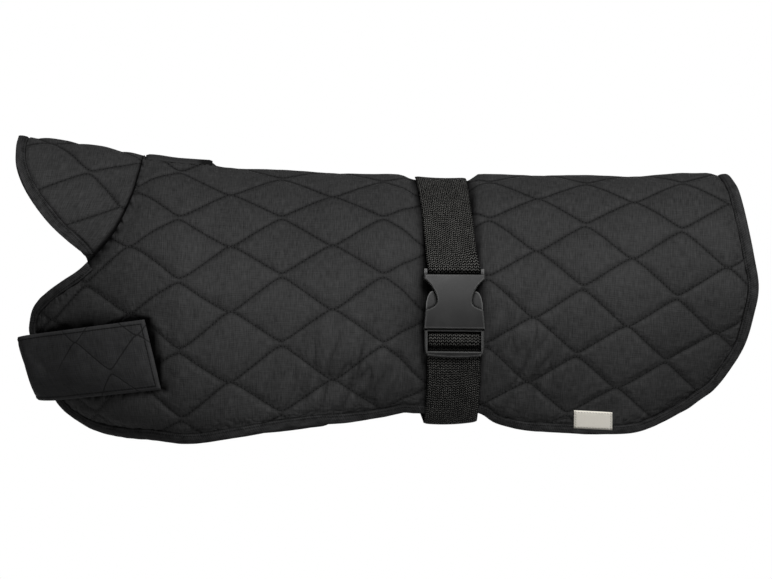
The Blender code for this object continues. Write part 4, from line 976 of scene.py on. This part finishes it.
def flap_look(sizes):
    """Fine ribbed tape, with painted shade towards its loose end, which stands off the cloth."""
    look = Look("flap_rib", Roughness=0.75, Specular_IOR_Level=0.04)
    p, s = look.cloth_place()
    ribs = p.back_and_forth(0.5) * 2.0
    grain = look.noise(p / 0.8, s / 0.8)
    tone = grain * 0.7 + ribs * 0.3
    colours = look.blend(shade(sizes.flap_colour, 0.6), shade(sizes.flap_colour, 1.5), tone)
    # Painted shade towards the loose end.
    colours = look.darkened(colours, p.above(15.0, 3.5) * 0.8)
    return look.finish(colours, height=grain + ribs, distance=0.0003, strength=0.5)


def label_look(colour):
    """Woven label, left bare, with a row of stitches inside each edge."""
    look = Look("label_weave", Roughness=0.75, Specular_IOR_Level=0.2)
    p, s = look.cloth_place()
    weave = p.back_and_forth(0.35) * 1.4 + s.back_and_forth(0.45) * 1.1
    grain = look.noise(p / 1.2, s / 1.2)
    edge = abs(abs(s) - 6.5).below(0.35, 0.2).larger(abs(abs(p) - 13.2).below(0.35, 0.2))
    stitch = (p + s).back_and_forth(LABEL_STITCH / 2).below(0.75, 0.15)
    tone = weave * 0.4 + grain * 0.4 + 0.35
    colours = look.blend(shade(colour, 0.82), colour, tone)
    colours = look.darkened(colours, edge * stitch * 0.6, 0.35)
    return look.finish(colours, height=weave + grain, strength=0.4)


def flat_grid(columns, rows, thick=True):
    """A flat grid one unit each way, made a closed shell where it is to be thick."""
    mesh = bmesh.new()
    bmesh.ops.create_grid(mesh, x_segments=columns, y_segments=rows, size=0.5)
    bmesh.ops.translate(mesh, verts=mesh.verts, vec=(0.5, 0.5, 0.0))
    if thick:
        bmesh.ops.solidify(mesh, geom=mesh.faces[:], thickness=1.0)
    return mesh


def points_of(mesh):
    """(flat points, 1 on the outer side of a shell and 0 on its inner one) of a bmesh."""
    at = np.array([vert.co for vert in mesh.verts])
    side = at[:, 2] - at[:, 2].min()
    return at[:, :2], side / max(side.max(), 1e-9) if side.max() > 0 else side + 1.0


def linked(name, data):
    obj = bpy.data.objects.new(name, data)
    bpy.context.scene.collection.objects.link(obj)
    return obj


def cloth_piece(name, mesh, flat, points, look, slot, node, quilt=None, **kept):
    """A piece in a CAD node's place, from a bmesh and the place of each of its points in millimetres.

    Its cloth coordinates go to one UV map and those of its even quilting to a second. Attributes hold
    what else the look needs at each point, such as how much painted shade it takes in a gap.
    """
    data = bpy.data.meshes.new(name)
    for vert, at in zip(mesh.verts, np.asarray(points, float) * MM):
        vert.co = at
    mesh.to_mesh(data)
    mesh.free()
    index = np.empty(len(data.loops), np.int32)
    data.loops.foreach_get("vertex_index", index)
    for layer, at in (("cloth", flat), ("quilt", quilt)):
        if at is not None:
            uv = data.uv_layers.new(name=layer)
            uv.data.foreach_set("uv", (np.asarray(at)[index] * MM).astype(np.float32).ravel())
    for layer, values in kept.items():
        attribute = data.attributes.new(layer, "FLOAT", "POINT")
        attribute.data.foreach_set("value", values.astype(np.float32))
    data.polygons.foreach_set("use_smooth", [True] * len(data.polygons))
    data.materials.append(look)
    obj = linked(name, data)
    turned = bmesh.new()
    turned.from_mesh(data)
    if turned.calc_volume(signed=True) < 0:
        bmesh.ops.reverse_faces(turned, faces=turned.faces)
        turned.to_mesh(data)
    turned.free()
    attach(obj, "root")
    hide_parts(node)
    return obj


def shell_points(side, outer, inner):
    return np.where((side > 0.5)[:, None], outer, inner)


def row_line(p, line):
    """Arc of a stitched row counted across the whole coat: 1 is the first on the far side, 0 its mirror."""
    far = line >= 1
    return np.where(far, 1, -1) * wave(p, np.where(far, line - 1, -line))


CELL = 15.0  # faces are looked up by cells of this size while they are cut
BAND = 12.0  # only faces with their middle this near the line are cut


def cells_of(low, high):
    """The cells that a box in the flat covers."""
    across, up = [range(int(low[i] // CELL), int(high[i] // CELL) + 1) for i in (0, 1)]
    return [(i, j) for i in across for j in up]


def trimmed(mesh, outline):
    """Cuts a flat mesh along a closed line and drops what lies outside it."""
    centres = np.array([face.calc_center_median()[:2] for face in mesh.faces])
    depth = outline.depth(centres)
    band = {face for face, deep in zip(mesh.faces, depth) if abs(deep) < BAND}
    outside = [face for face, deep in zip(mesh.faces, depth) if deep <= -BAND]
    bmesh.ops.delete(mesh, geom=outside, context="FACES")
    boxes, cells = {}, {}

    def noted(face):
        xs, ys = zip(*[vert.co[:2] for vert in face.verts])
        boxes[face] = (min(xs), min(ys)), (max(xs), max(ys))
        for cell in cells_of(*boxes[face]):
            cells.setdefault(cell, set()).add(face)

    for face in band:
        noted(face)
    for start, end in zip(outline.points, np.roll(outline.points, -1, axis=0)):
        low, high = np.minimum(start, end) - 0.05, np.maximum(start, end) + 0.05
        met = []
        for face in set().union(*[cells.get(cell, ()) for cell in cells_of(low, high)]):
            (left, bottom), (right, top) = boxes[face]
            if right > low[0] and left < high[0] and top > low[1] and bottom < high[1]:
                met.append(face)
        edges = {edge for face in met for edge in face.edges}
        verts = {vert for face in met for vert in face.verts}
        run = end - start
        cut = bmesh.ops.bisect_plane(
            mesh,
            geom=[*verts, *edges, *met],
            dist=1e-3,
            plane_co=(*start, 0.0),
            plane_no=(-run[1], run[0], 0.0),
        )
        made = {item for item in cut["geom"] if isinstance(item, bmesh.types.BMFace)}
        for face in made:
            noted(face)
        band |= made
    band = list(band)
    centres = np.array([face.calc_center_median()[:2] for face in band])
    gone = [face for face, deep in zip(band, outline.depth(centres)) if deep < 0]
    bmesh.ops.delete(mesh, geom=gone, context="FACES")
    loose = [vert for vert in mesh.verts if not vert.link_faces]
    bmesh.ops.delete(mesh, geom=loose, context="VERTS")


def rumple(flat, grain, seed):
    """Smooth unevenness between -1 and 1 over cloth coordinates."""
    return np.array([noise.noise(Vector((p / grain[0], s / grain[1], seed))) for p, s in flat])


def beside(distance, width):
    """1 at the edge of something that lies on the cloth, fading over a width from it."""
    return np.exp(-((np.maximum(distance, 0.0) / width) ** 2))


def from_seam(flat):
    """Distance in the flat to the collar's seam."""
    return np.min(np.linalg.norm(flat[:, None] - seam_line[None, ::3], axis=2), axis=1)


def strap_shadow(flat, at):
    """How dark the gap is beside the chest strap's end and edges."""
    x, z = at[:, 0], at[:, 2]
    upper, lower = [np.interp(x, *zip(*edge[::-1])) for edge in (STRAP_UPPER, STRAP_LOWER)]
    (top_x, top_z), (foot_x, foot_z) = STRAP_UPPER[0], STRAP_LOWER[0]
    above = z - upper
    behind = x - np.interp(z, (foot_z, top_z), (foot_x, top_x))
    ragged = 1.0 + 0.8 * rumple(flat, (17.0, 17.0), 31.5)
    away = np.hypot(np.maximum(above, 0), np.maximum(behind, 0)) / ragged
    beyond = 1.6 * beside(away, 4.0) * (lower - 2.0 < z)
    bulge = np.exp(-(((x - BULGE_AT) / BULGE_REACH) ** 2)) * beside(above, 9.5)
    bulge = 0.85 * bulge * (behind < 0) * (lower < z)
    below = 0.85 * beside(np.hypot(lower - z, np.maximum(behind, 0)), 1.8)
    return np.maximum.reduce([beyond, bulge, below]) * (flat[:, 1] < 0)


def belt_shadow(flat, at):
    """How dark the gap is beside the belt, deeper where the buckle holds it off the cloth."""
    from_belt = at[:, 0] - belt_middle(at[:, 1])
    away, before = abs(from_belt) - BELT_WIDTH / 2, from_belt < 0
    under_buckle = -flat[:, 1] - BUCKLE_ARC
    socket = np.exp(-((under_buckle / 32.0) ** 2))
    low = np.exp(-(((under_buckle - 16.0) / 24.0) ** 2))
    close = 0.9 * beside(away, np.where(before, 3.0 + 6.0 * socket, 2.4 + 3.0 * socket))
    wide = np.where(before, 0.5, 0.3) * low * beside(away, np.where(before, 17.0, 14.0))
    return np.maximum(close, wide)


def panel_crevice(flat, at):
    """Painted shade in the gaps beside the collar's seam, the strap, the belt and the buckle."""
    seam = beside(from_seam(flat), 1.6 + 5.0 * ease(abs(flat[:, 1]), 70.0, 122.0))
    return np.clip(np.maximum.reduce([seam, strap_shadow(flat, at), belt_shadow(flat, at)]), 0, 1)


def pulled(flat):
    """Where the belt's pull creases the lower cloth on both sides of it."""
    p, s = flat[:, 0], abs(flat[:, 1])
    before = np.exp(-(((p - 14) / 52) ** 2) - (((s - 210) / 34) ** 2))
    behind = np.exp(-(((p - 148) / 38) ** 2) - (((s - 190) / 48) ** 2))
    return np.clip(before + 0.8 * behind + 0.12, 0, 1)


def gathered(flat, inside):
    """Where the cloth gathers beside its binding, away from the collar's seam."""
    return beside(inside - 9.0, 7.0) * ease(from_seam(flat), 14.0, 40.0)


def meets_flap(lift, x, arc):
    """The cloth's lift where it lies under the neck flap and where it rises to the flap's edges."""
    before, behind, beyond = FLAP_X[0] - x, x - FLAP_X[1], abs(arc) - FLAP_HALF
    away = np.hypot(np.maximum.reduce([before, behind * 2.0, 0.0 * x]), np.maximum(beyond, 0.0))
    under = np.interp(x, np.linspace(*FLAP_X, len(FLAP_LIFTS)), FLAP_LIFTS)
    beneath = np.maximum.reduce([before, behind, beyond]) < FLAP_LAP
    risen = lift + (under + FLAP_THICK - 0.3 - lift) * beside(away, 6.0)
    return np.where(beneath, under - 0.3, risen)


def quilted_grid():
    """The back's flat mesh: its lines follow the quilting, denser beside the stitched rows."""
    low, high = panel_edge.points.min(axis=0), panel_edge.points.max(axis=0)
    step = COLUMN / QUILT_CELLS
    first, last = int(low[0] / step) - 1, int(high[0] / step) + 1
    rows = 2 * ROWS_ASIDE + 1
    mesh = flat_grid(last - first, rows * QUILT_CELLS, thick=False)
    at, _ = points_of(mesh)
    p = (first + at[:, 0] * (last - first)) * step
    place = at[:, 1] * rows - ROWS_ASIDE
    line = np.clip(np.floor(place + 1e-6), -ROWS_ASIDE, ROWS_ASIDE)
    t = place - line
    t = 0.4 * t + 0.6 * (0.5 - 0.5 * np.cos(np.pi * t))
    s = row_line(p, line) * (1 - t) + row_line(p, line + 1) * t
    for vert, along, arc in zip(mesh.verts, *drawn(p, s)):
        vert.co = along, arc, 0.0
    return mesh


def quilted_back(sizes):
    mesh = quilted_grid()
    trimmed(mesh, panel_edge)
    bmesh.ops.solidify(mesh, geom=mesh.faces[:], thickness=1.0)
    flat, side = points_of(mesh)
    inside = panel_edge.depth(flat)
    free = ease(inside, 6.0, 16.0)
    pull = pulled(flat)
    uneven = 0.7 * rumple(flat, (13.0, 10.0), 1.5) + 0.9 * rumple(flat, (46.0, 38.0), 6.5)
    uneven = uneven + 2.0 * pull * rumple(flat * (1.0, 0.4), (19.0, 19.0), 12.5)
    lift = panel_lift(flat) + sizes.rumple * uneven * free
    x, arc = form.unflat(flat)
    lift = meets_flap(lift, x, arc)
    lift = np.maximum(lift, UNDER_TAPE + (BESIDE_TAPE - UNDER_TAPE) * ease(inside, *TAPE_ENDS))
    outer, inner = form.raised(x, arc, lift), form.raised(x, arc, INNER_FACE)
    look = quilted_look("quilted_weave", sizes)
    quilt = flat + np.stack(drift(*flat.T), axis=1)
    points = shell_points(side, outer, inner)
    # Painted shade in the gaps beside the seam, strap, belt and buckle, kept at each point.
    crevice = panel_crevice(flat, outer)
    kept = {"crevice": crevice, "pulled": pull, "gathered": gathered(flat, inside)}
    obj = cloth_piece(
        "quilted_back", mesh, flat, points, look, "quilted_cloth", "back_panel", quilt, **kept
    )


def collar_cloth(sizes):
    mesh = flat_grid(*COLLAR_CELLS)
    at, side = points_of(mesh)
    w = at[:, 0] * 2 - 1
    flat = np.stack([-at[:, 1] * collar_shape.reach_at(w), w * collar_shape.tall], axis=1)
    lift = collar_shape.lift(flat)
    lift = lift + 0.5 * rumple(flat, (14.0, 12.0), 3.5) * ease(-flat[:, 0], 2.0, 12.0)
    outer, inner = collar_shape.raised(flat, lift), collar_shape.raised(flat, INNER_FACE)
    # Its seam allowance turns in under the back's edge, so no light comes through the seam.
    onward = unit(inner - collar_shape.raised(flat - (1.0, 0.0), INNER_FACE))
    inner = inner + (0.9 * beside(-flat[:, 0], 1.5))[:, None] * onward
    look = quilted_look("collar_weave", sizes)
    quilt = np.stack(collar_shape.quilt(flat), axis=1)
    # Painted shade beside the seam, wider towards the collar's feet.
    crevice = 0.95 * beside(-flat[:, 0], 1.2 + 3.2 * ease(abs(w), 0.55, 1.0))
    free = collar_shape.outline.depth(flat)
    points = shell_points(side, outer, inner)
    pull = np.full(len(flat), 0.1)
    kept = {"crevice": crevice, "pulled": pull, "gathered": 0.5 * beside(free - 9.0, 5.0)}
    obj = cloth_piece(
        "quilted_collar", mesh, flat, points, look, "collar_cloth", "collar", quilt, **kept
    )


# The binding's cross-section, from its outer free edge over the cloth's edge to its inner one.
# Columns: distance in from the cloth's edge, height over the cloth's inside.
TAPE_SECTION = (
    (7.6, 1.3),
    (7.3, 2.2),
    (6.8, 2.6),
    (6.3, 2.8),
    (5.8, 2.95),
    (5.1, 3.1),
    (4.0, 3.3),
    (2.2, 3.28),
    (0.9, 3.1),
    (-0.2, 2.5),
    (-0.75, 1.3),
    (-0.6, 0.1),
    (0.0, -0.7),
    (1.0, -1.1),
    (4.0, -1.2),
    (7.0, -1.1),
    (8.3, -0.7),
    (8.7, 0.0),
)
TAPE_SKIN = 0.55


def binding(name, outline, raised, unbound, look, slot, node):
    """Folded tape down an outline's bound stretch, left short by unbound stations at both ends."""
    section = spline(np.array(TAPE_SECTION, float), 2)
    turn = unit(np.gradient(section, axis=0))
    skin = section - TAPE_SKIN * np.stack([-turn[:, 1], turn[:, 0]], axis=1)
    edge = outline.points[outline.bound]
    turned = unit(np.gradient(edge, axis=0))
    inward = np.stack([-turned[:, 1], turned[:, 0]], axis=1)
    run = lengths(edge)
    stations = np.arange(unbound, len(edge) - unbound)
    mesh = flat_grid(len(stations) - 1, len(section) - 1)
    at, side = points_of(mesh)
    i = stations[np.round(at[:, 0] * (len(stations) - 1)).astype(int)]
    k = np.round(at[:, 1] * (len(section) - 1)).astype(int)
    shape = np.where((side > 0.5)[:, None], section[k], skin[k])
    along = run[i]
    uneven = rumple(np.stack([along, section[k][:, 0] * 2.0], axis=1), (6.5, 12.0), 8.5)
    slow = rumple(np.stack([along, 0 * along], axis=1), (30.0, 1.0), 2.5)
    outside = ease(section[k][:, 1], 0.0, 2.5)
    inside = shape[:, 0] + 0.35 * slow * ease(shape[:, 0], 2.0, 8.0)
    flat = edge[i] + inside[:, None] * inward[i]
    height = shape[:, 1] + outside * (0.28 * uneven)
    points = raised(flat, height)
    cloth = np.stack([along, lengths(section)[k]], axis=1)
    # Across the tape, places on the cloth are measured both ways from its fold.
    cloth[:, 1] = abs(cloth[:, 1] - lengths(section)[np.argmin(section[:, 0])])
    obj = cloth_piece(name, mesh, cloth, points, look, slot, node)


def body_tape(sizes):
    def raised(flat, height):
        return form.raised(*form.unflat(flat), height)

    look = tape_look("body_tape_rib", sizes.tape_colour)
    binding("bound_edge", panel_edge, raised, 0, look, "binding_tape", "body_binding")


def collar_tape(sizes):
    look = tape_look("collar_tape_rib", sizes.tape_colour)
    outline, raised = collar_shape.outline, collar_shape.raised
    slot, node = "collar_tape", "collar_binding"
    binding("bound_collar_edge", outline, raised, 1, look, slot, node)


def chest_band(sizes):
    surface, normals = strap_surface()
    rows = len(surface)
    columns, lines = STRAP_CELLS
    mesh = flat_grid(columns, lines)
    at, side = points_of(mesh)
    grid = np.concatenate([surface, normals], axis=2)
    curves = [spline(row, 6) for row in grid]
    fine = np.array([respaced(curve, lengths(curve)[-1] / columns) for curve in curves])
    i = np.round(at[:, 0] * columns).astype(int)
    at_row = at[:, 1] * (rows - 1)
    low = np.clip(np.floor(at_row).astype(int), 0, rows - 2)
    t = (at_row - low)[:, None]
    here = fine[low, i] * (1 - t) + fine[low + 1, i] * t
    base, out = here[:, :3], unit(here[:, 3:])
    run = at[:, 0] * STRAP_RUN
    across = at[:, 1] * 2 * ROW
    rim = np.minimum(np.minimum(across, 2 * ROW - across), run)
    flat = np.stack([run, across], axis=1)
    thick = STRAP_THIN + STRAP_PUFF * puff(*strap_quilt(run, across)) * ease(rim, 2.0, 12.0)
    thick = thick - 1.1 * (1 - ease(rim, 0.0, 1.6)) + 0.25 * rumple(flat, (14.0, 9.0), 4.5)
    thick = thick - 0.35 * np.exp(-(((rim - 3.4) / 0.8) ** 2))
    under = 0.3 * (1 - ease(rim, 0.0, 1.6))
    points = shell_points(side, base + thick[:, None] * out, base + under[:, None] * out)
    quilt = np.stack(strap_quilt(run, across), axis=1)
    look = strap_look(sizes)
    obj = cloth_piece("chest_band", mesh, flat, points, look, "strap_cloth", "chest_strap", quilt)


def webbing(sizes):
    path, normals = belt_path(buckle_frame)
    both = np.concatenate([path.reshape(len(path), 9), normals.reshape(len(path), 9)], axis=1)
    # Three lines run side by side, so a step along all of them together is longer by the root of 3.
    line = respaced(spline(both, 6), BELT_CELL * 3**0.5)
    stations = len(line)
    mesh = flat_grid(stations - 1, BELT_LANES)
    at, side = points_of(mesh)
    i = np.round(at[:, 0] * (stations - 1)).astype(int)
    e = at[:, 1] * 2 - 1
    three = line[i].reshape(-1, 6, 3)
    weights = np.stack([e * (e - 1) / 2, 1 - e * e, e * (e + 1) / 2], axis=1)[..., None]
    base = (three[:, :3] * weights).sum(axis=1)
    out = unit((three[:, 3:] * weights).sum(axis=1))
    run = lengths(line[:, 3:6])[i]
    flat = np.stack([run, e * BELT_WIDTH / 2], axis=1)
    half = BELT_THICK / 2 * np.sqrt(np.clip(1 - abs(e) ** 14, 0.1, 1))
    points = base + (np.where(side > 0.5, 1, -1) * half)[:, None] * out
    v, w = ((points - buckle_frame.origin) @ np.stack([buckle_frame.up, buckle_frame.out], axis=1)).T
    # Painted shade where it passes round the buckle's foot bar and through the slot at its top.
    near = abs(points[:, 1] - buckle_frame.origin[1]) < 25.0
    low_gap = ease(v, -32.5, -31.0) * (1 - ease(v, -25.6, -24.2)) * (1 - ease(w, 4.6, 5.6))
    top_gap = (1 - ease(v, 31.2, 33.2)) * ease(v, 25.0, 27.0)
    gap_shade = near * np.maximum(0.85 * low_gap, 0.75 * top_gap)
    look = webbing_look(sizes)
    obj = cloth_piece("belt_webbing", mesh, flat, points, look, "webbing", "belly_belt", crevice=gap_shade)


def rounded_copy(name, node, look):
    """A buckle half with its moulded corners shaded round, on a merged copy of its solid."""
    data = bpy.data.objects[node].data.copy()
    data.name = name
    mesh = bmesh.new()
    mesh.from_mesh(data)
    bmesh.ops.remove_doubles(mesh, verts=mesh.verts, dist=SAME_POINT)
    for face in mesh.faces:
        face.smooth = True
    for edge in mesh.edges:
        edge.smooth = edge.calc_face_angle(0.0) < SHARP_EDGE
    mesh.to_mesh(data)
    mesh.free()
    data.materials.clear()
    data.materials.append(look)
    obj = linked(name, data)
    normals = obj.modifiers.new("even_faces", "WEIGHTED_NORMAL")
    normals.weight, normals.keep_sharp, normals.thresh = 100, True, 0.0
    return obj


def buckle_halves(sizes):
    look = plastic_look(sizes)
    for name, node in (("buckle_socket", "buckle_female"), ("buckle_plug", "buckle_male")):
        obj = rounded_copy(name, node, look)
        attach(obj, "root")
        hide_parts(node)


def lying_piece(name, xs, arcs, lifts, thick, cells, look, slot, node):
    """A small piece that follows the form between stations xs and arcs."""
    mesh = flat_grid(*cells)
    at, side = points_of(mesh)
    x = xs[0] + at[:, 0] * (xs[1] - xs[0])
    s = arcs[0] + at[:, 1] * (arcs[1] - arcs[0])
    rim = np.minimum.reduce([x - xs[0], xs[1] - x, s - arcs[0], arcs[1] - s])
    under = np.interp(x, np.linspace(*xs, len(lifts)), lifts)
    top = under + thick * (0.55 + 0.45 * ease(rim, 0.0, thick))
    points = form.raised(x, s, np.where(side > 0.5, top, under))
    flat = np.stack([x - sum(xs) / 2, s - sum(arcs) / 2], axis=1)
    return cloth_piece(name, mesh, flat, points, look, slot, node)


def leash_flap(sizes):
    look = flap_look(sizes)
    arcs, slot, node = (-FLAP_HALF, FLAP_HALF), "flap_tape", "leash_flap"
    obj = lying_piece("neck_flap", FLAP_X, arcs, FLAP_LIFTS, FLAP_THICK, (22, 16), look, slot, node)


def hem_label(sizes):
    look = label_look(sizes.label_colour)
    arcs, slot, node = (-LABEL_ARC[1], -LABEL_ARC[0]), "label_cloth", "label"
    lifts = (LABEL_LIFT, LABEL_LIFT)
    obj = lying_piece("hem_label", LABEL_X, arcs, lifts, LABEL_THICK, (16, 10), look, slot, node)


def soft_light(name, place, size, power, glossy=False):
    light = bpy.data.lights.new(name, "AREA")
    light.shape, light.size, light.energy = "DISK", size, power
    obj = linked(name, light)
    obj.location = place
    obj.rotation_euler = (Vector(LIT_POINT) - Vector(place)).to_track_quat("-Z", "Y").to_euler()
    obj.visible_camera, obj.visible_glossy = False, glossy


def studio_floor():
    floor = bmesh.new()
    bmesh.ops.create_circle(floor, cap_ends=True, segments=96, radius=2.2)
    bmesh.ops.translate(floor, verts=floor.verts, vec=(0.0, 0.0, FLOOR_AT))
    data = bpy.data.meshes.new("studio_floor")
    floor.to_mesh(data)
    floor.free()
    pale = Look("studio_floor", Roughness=0.9, Specular_IOR_Level=0.2)
    at = pale.node("ShaderNodeTexCoord", out=3)
    cloud = pale.node("ShaderNodeTexNoise", values={"Vector": at, "Scale": 3.0})
    data.materials.append(pale.finish(pale.blend((0.88, 0.88, 0.88), (0.93, 0.93, 0.93), cloud)))
    obj = linked("studio_floor", data)
    obj.visible_diffuse = False


def white_surround(strength):
    """Plain white behind the coat, and light of another strength from all round it."""
    world = bpy.data.worlds.new("studio_white")
    world.use_nodes = True
    tree = world.node_tree
    seen, given = tree.nodes["Background"], tree.nodes.new("ShaderNodeBackground")
    for background, power in ((seen, 1.0), (given, strength)):
        background.inputs["Color"].default_value = (1.0, 1.0, 1.0, 1.0)
        background.inputs["Strength"].default_value = power
    ray, mix = tree.nodes.new("ShaderNodeLightPath"), tree.nodes.new("ShaderNodeMixShader")
    tree.links.new(ray.outputs["Is Camera Ray"], mix.inputs["Fac"])
    tree.links.new(given.outputs[0], mix.inputs[1])
    tree.links.new(seen.outputs[0], mix.inputs[2])
    tree.links.new(mix.outputs[0], tree.nodes["World Output"].inputs["Surface"])
    bpy.context.scene.world = world


def studio(sizes):
    studio_floor()
    white_surround(sizes.surround)
    soft_light("key", (0.6, -2.2, 1.5), 1.1, sizes.key, glossy=True)
    soft_light("fill", (0.2, -1.7, -0.36), 0.7, sizes.fill)
    soft_light("top", (0.2, 0.3, 2.4), 2.0, sizes.top)
    soft_light("back", (0.5, 2.4, 0.8), 1.8, sizes.key * 0.6)

    lens = bpy.data.cameras.new("view")
    lens.lens, lens.clip_end = sizes.lens, 90.0
    camera = linked("view", lens)
    camera.location = VIEWPOINT
    camera.rotation_euler = (np.pi / 2, 0.0, 0.0)
    bpy.context.scene.camera = camera
    bpy.context.scene.view_settings.view_transform = "Standard"


def colour(name, about, default):
    return FloatVectorProperty(
        name=name, description=about, default=default, subtype="COLOR", min=0.0, max=1.0
    )


def watts(name, about, default):
    return FloatProperty(name=name, description=about, default=default, unit="POWER", min=0.0)


class CoatCloth(bpy.types.PropertyGroup):
    cloth_colour: colour("Cloth", "Colour of the quilted cloth", (0.0368, 0.0368, 0.037))
    strap_colour: colour("Strap cloth", "Colour of the chest strap", (0.0355, 0.0355, 0.0363))
    tape_colour: colour("Binding", "Colour of the binding tape", (0.0365, 0.0365, 0.037))
    flap_colour: colour("Flap", "Colour of the neck flap", (0.035, 0.035, 0.0355))
    label_colour: colour("Label", "Colour of the bare label", (1.0, 0.96, 0.86))
    rumple: FloatProperty(
        name="Rumple",
        description="How uneven the cloth lies, in millimetres",
        default=0.5,
        min=0.0,
        max=2.0,
    )


class CoatBelt(bpy.types.PropertyGroup):
    webbing_colour: colour("Webbing", "Colour of the belt's webbing", (0.028, 0.0275, 0.026))
    buckle_colour: colour("Buckle", "Colour of the moulded buckle", (0.0085, 0.0085, 0.0084))


class CoatStudio(bpy.types.PropertyGroup):
    surround: FloatProperty(
        name="Surround", description="Strength of the light from all round", default=0.13, min=0.0
    )
    key: watts("Key", "Power of the front light", 58.0)
    top: watts("Top", "Power of the light above", 1.0)
    fill: watts("Fill", "Power of the low light", 5.0)
    lens: FloatProperty(
        name="Lens",
        description="Focal length of the camera in millimetres",
        default=1215.0,
        min=1.0,
        unit="CAMERA",
    )


class COAT_OT_back(bpy.types.Operator):
    """Makes the quilted back, sides and chest lobes"""

    bl_idname = "coat.back"
    bl_label = "Quilted back"

    def execute(self, context):
        quilted_back(context.scene.coat_cloth)
        return {"FINISHED"}


class COAT_OT_collar(bpy.types.Operator):
    """Makes the stand-up collar"""

    bl_idname = "coat.collar"
    bl_label = "Collar"

    def execute(self, context):
        collar_cloth(context.scene.coat_cloth)
        return {"FINISHED"}


class COAT_OT_body_tape(bpy.types.Operator):
    """Makes the tape round the back's free edge"""

    bl_idname = "coat.body_tape"
    bl_label = "Body binding"

    def execute(self, context):
        body_tape(context.scene.coat_cloth)
        return {"FINISHED"}


class COAT_OT_collar_tape(bpy.types.Operator):
    """Makes the tape on the collar's edge"""

    bl_idname = "coat.collar_tape"
    bl_label = "Collar binding"

    def execute(self, context):
        collar_tape(context.scene.coat_cloth)
        return {"FINISHED"}


class COAT_OT_band(bpy.types.Operator):
    """Makes the padded strap across the chest"""

    bl_idname = "coat.band"
    bl_label = "Chest strap"

    def execute(self, context):
        chest_band(context.scene.coat_cloth)
        return {"FINISHED"}


class COAT_OT_flap(bpy.types.Operator):
    """Makes the short tape flap on the neck"""

    bl_idname = "coat.flap"
    bl_label = "Neck flap"

    def execute(self, context):
        leash_flap(context.scene.coat_cloth)
        return {"FINISHED"}


class COAT_OT_label(bpy.types.Operator):
    """Makes the bare woven label at the hem"""

    bl_idname = "coat.label"
    bl_label = "Label"

    def execute(self, context):
        hem_label(context.scene.coat_cloth)
        return {"FINISHED"}


class COAT_OT_belt(bpy.types.Operator):
    """Makes the webbing round the body"""

    bl_idname = "coat.belt"
    bl_label = "Belly belt"

    def execute(self, context):
        webbing(context.scene.coat_belt)
        return {"FINISHED"}


class COAT_OT_buckle(bpy.types.Operator):
    """Makes both halves of the buckle"""

    bl_idname = "coat.buckle"
    bl_label = "Buckle"

    def execute(self, context):
        buckle_halves(context.scene.coat_belt)
        return {"FINISHED"}


class COAT_OT_studio(bpy.types.Operator):
    """Makes the floor, the light and the camera"""

    bl_idname = "coat.studio"
    bl_label = "Studio"

    def execute(self, context):
        studio(context.scene.coat_studio)
        return {"FINISHED"}


GROUPS = {"coat_cloth": CoatCloth, "coat_belt": CoatBelt, "coat_studio": CoatStudio}
OPERATORS = (
    COAT_OT_back,
    COAT_OT_collar,
    COAT_OT_body_tape,
    COAT_OT_collar_tape,
    COAT_OT_band,
    COAT_OT_flap,
    COAT_OT_label,
    COAT_OT_belt,
    COAT_OT_buckle,
    COAT_OT_studio,
)


class COAT_PT_pieces(bpy.types.Panel):
    """The coat's pieces and their settings"""

    bl_idname = "COAT_PT_pieces"
    bl_label = "Dog winter coat"
    bl_space_type = "VIEW_3D"
    bl_region_type = "UI"
    bl_category = "Coat"

    def draw(self, context):
        for name, group in GROUPS.items():
            for setting in group.__annotations__:
                self.layout.prop(getattr(context.scene, name), setting)
        for made in OPERATORS:
            self.layout.operator(made.bl_idname)


CLASSES = (*GROUPS.values(), *OPERATORS, COAT_PT_pieces)


def register():
    for made in CLASSES:
        bpy.utils.register_class(made)
    for name, group in GROUPS.items():
        setattr(bpy.types.Scene, name, PointerProperty(type=group))


def unregister():
    for name in GROUPS:
        delattr(bpy.types.Scene, name)
    for made in reversed(CLASSES):
        bpy.utils.unregister_class(made)


def main():
    register()
    bpy.ops.coat.back()
    bpy.ops.coat.collar()
    bpy.ops.coat.body_tape()
    bpy.ops.coat.collar_tape()
    bpy.ops.coat.band()
    bpy.ops.coat.flap()
    bpy.ops.coat.label()
    bpy.ops.coat.belt()
    bpy.ops.coat.buckle()
    bpy.ops.coat.studio()


if __name__ == "__main__":
    main()
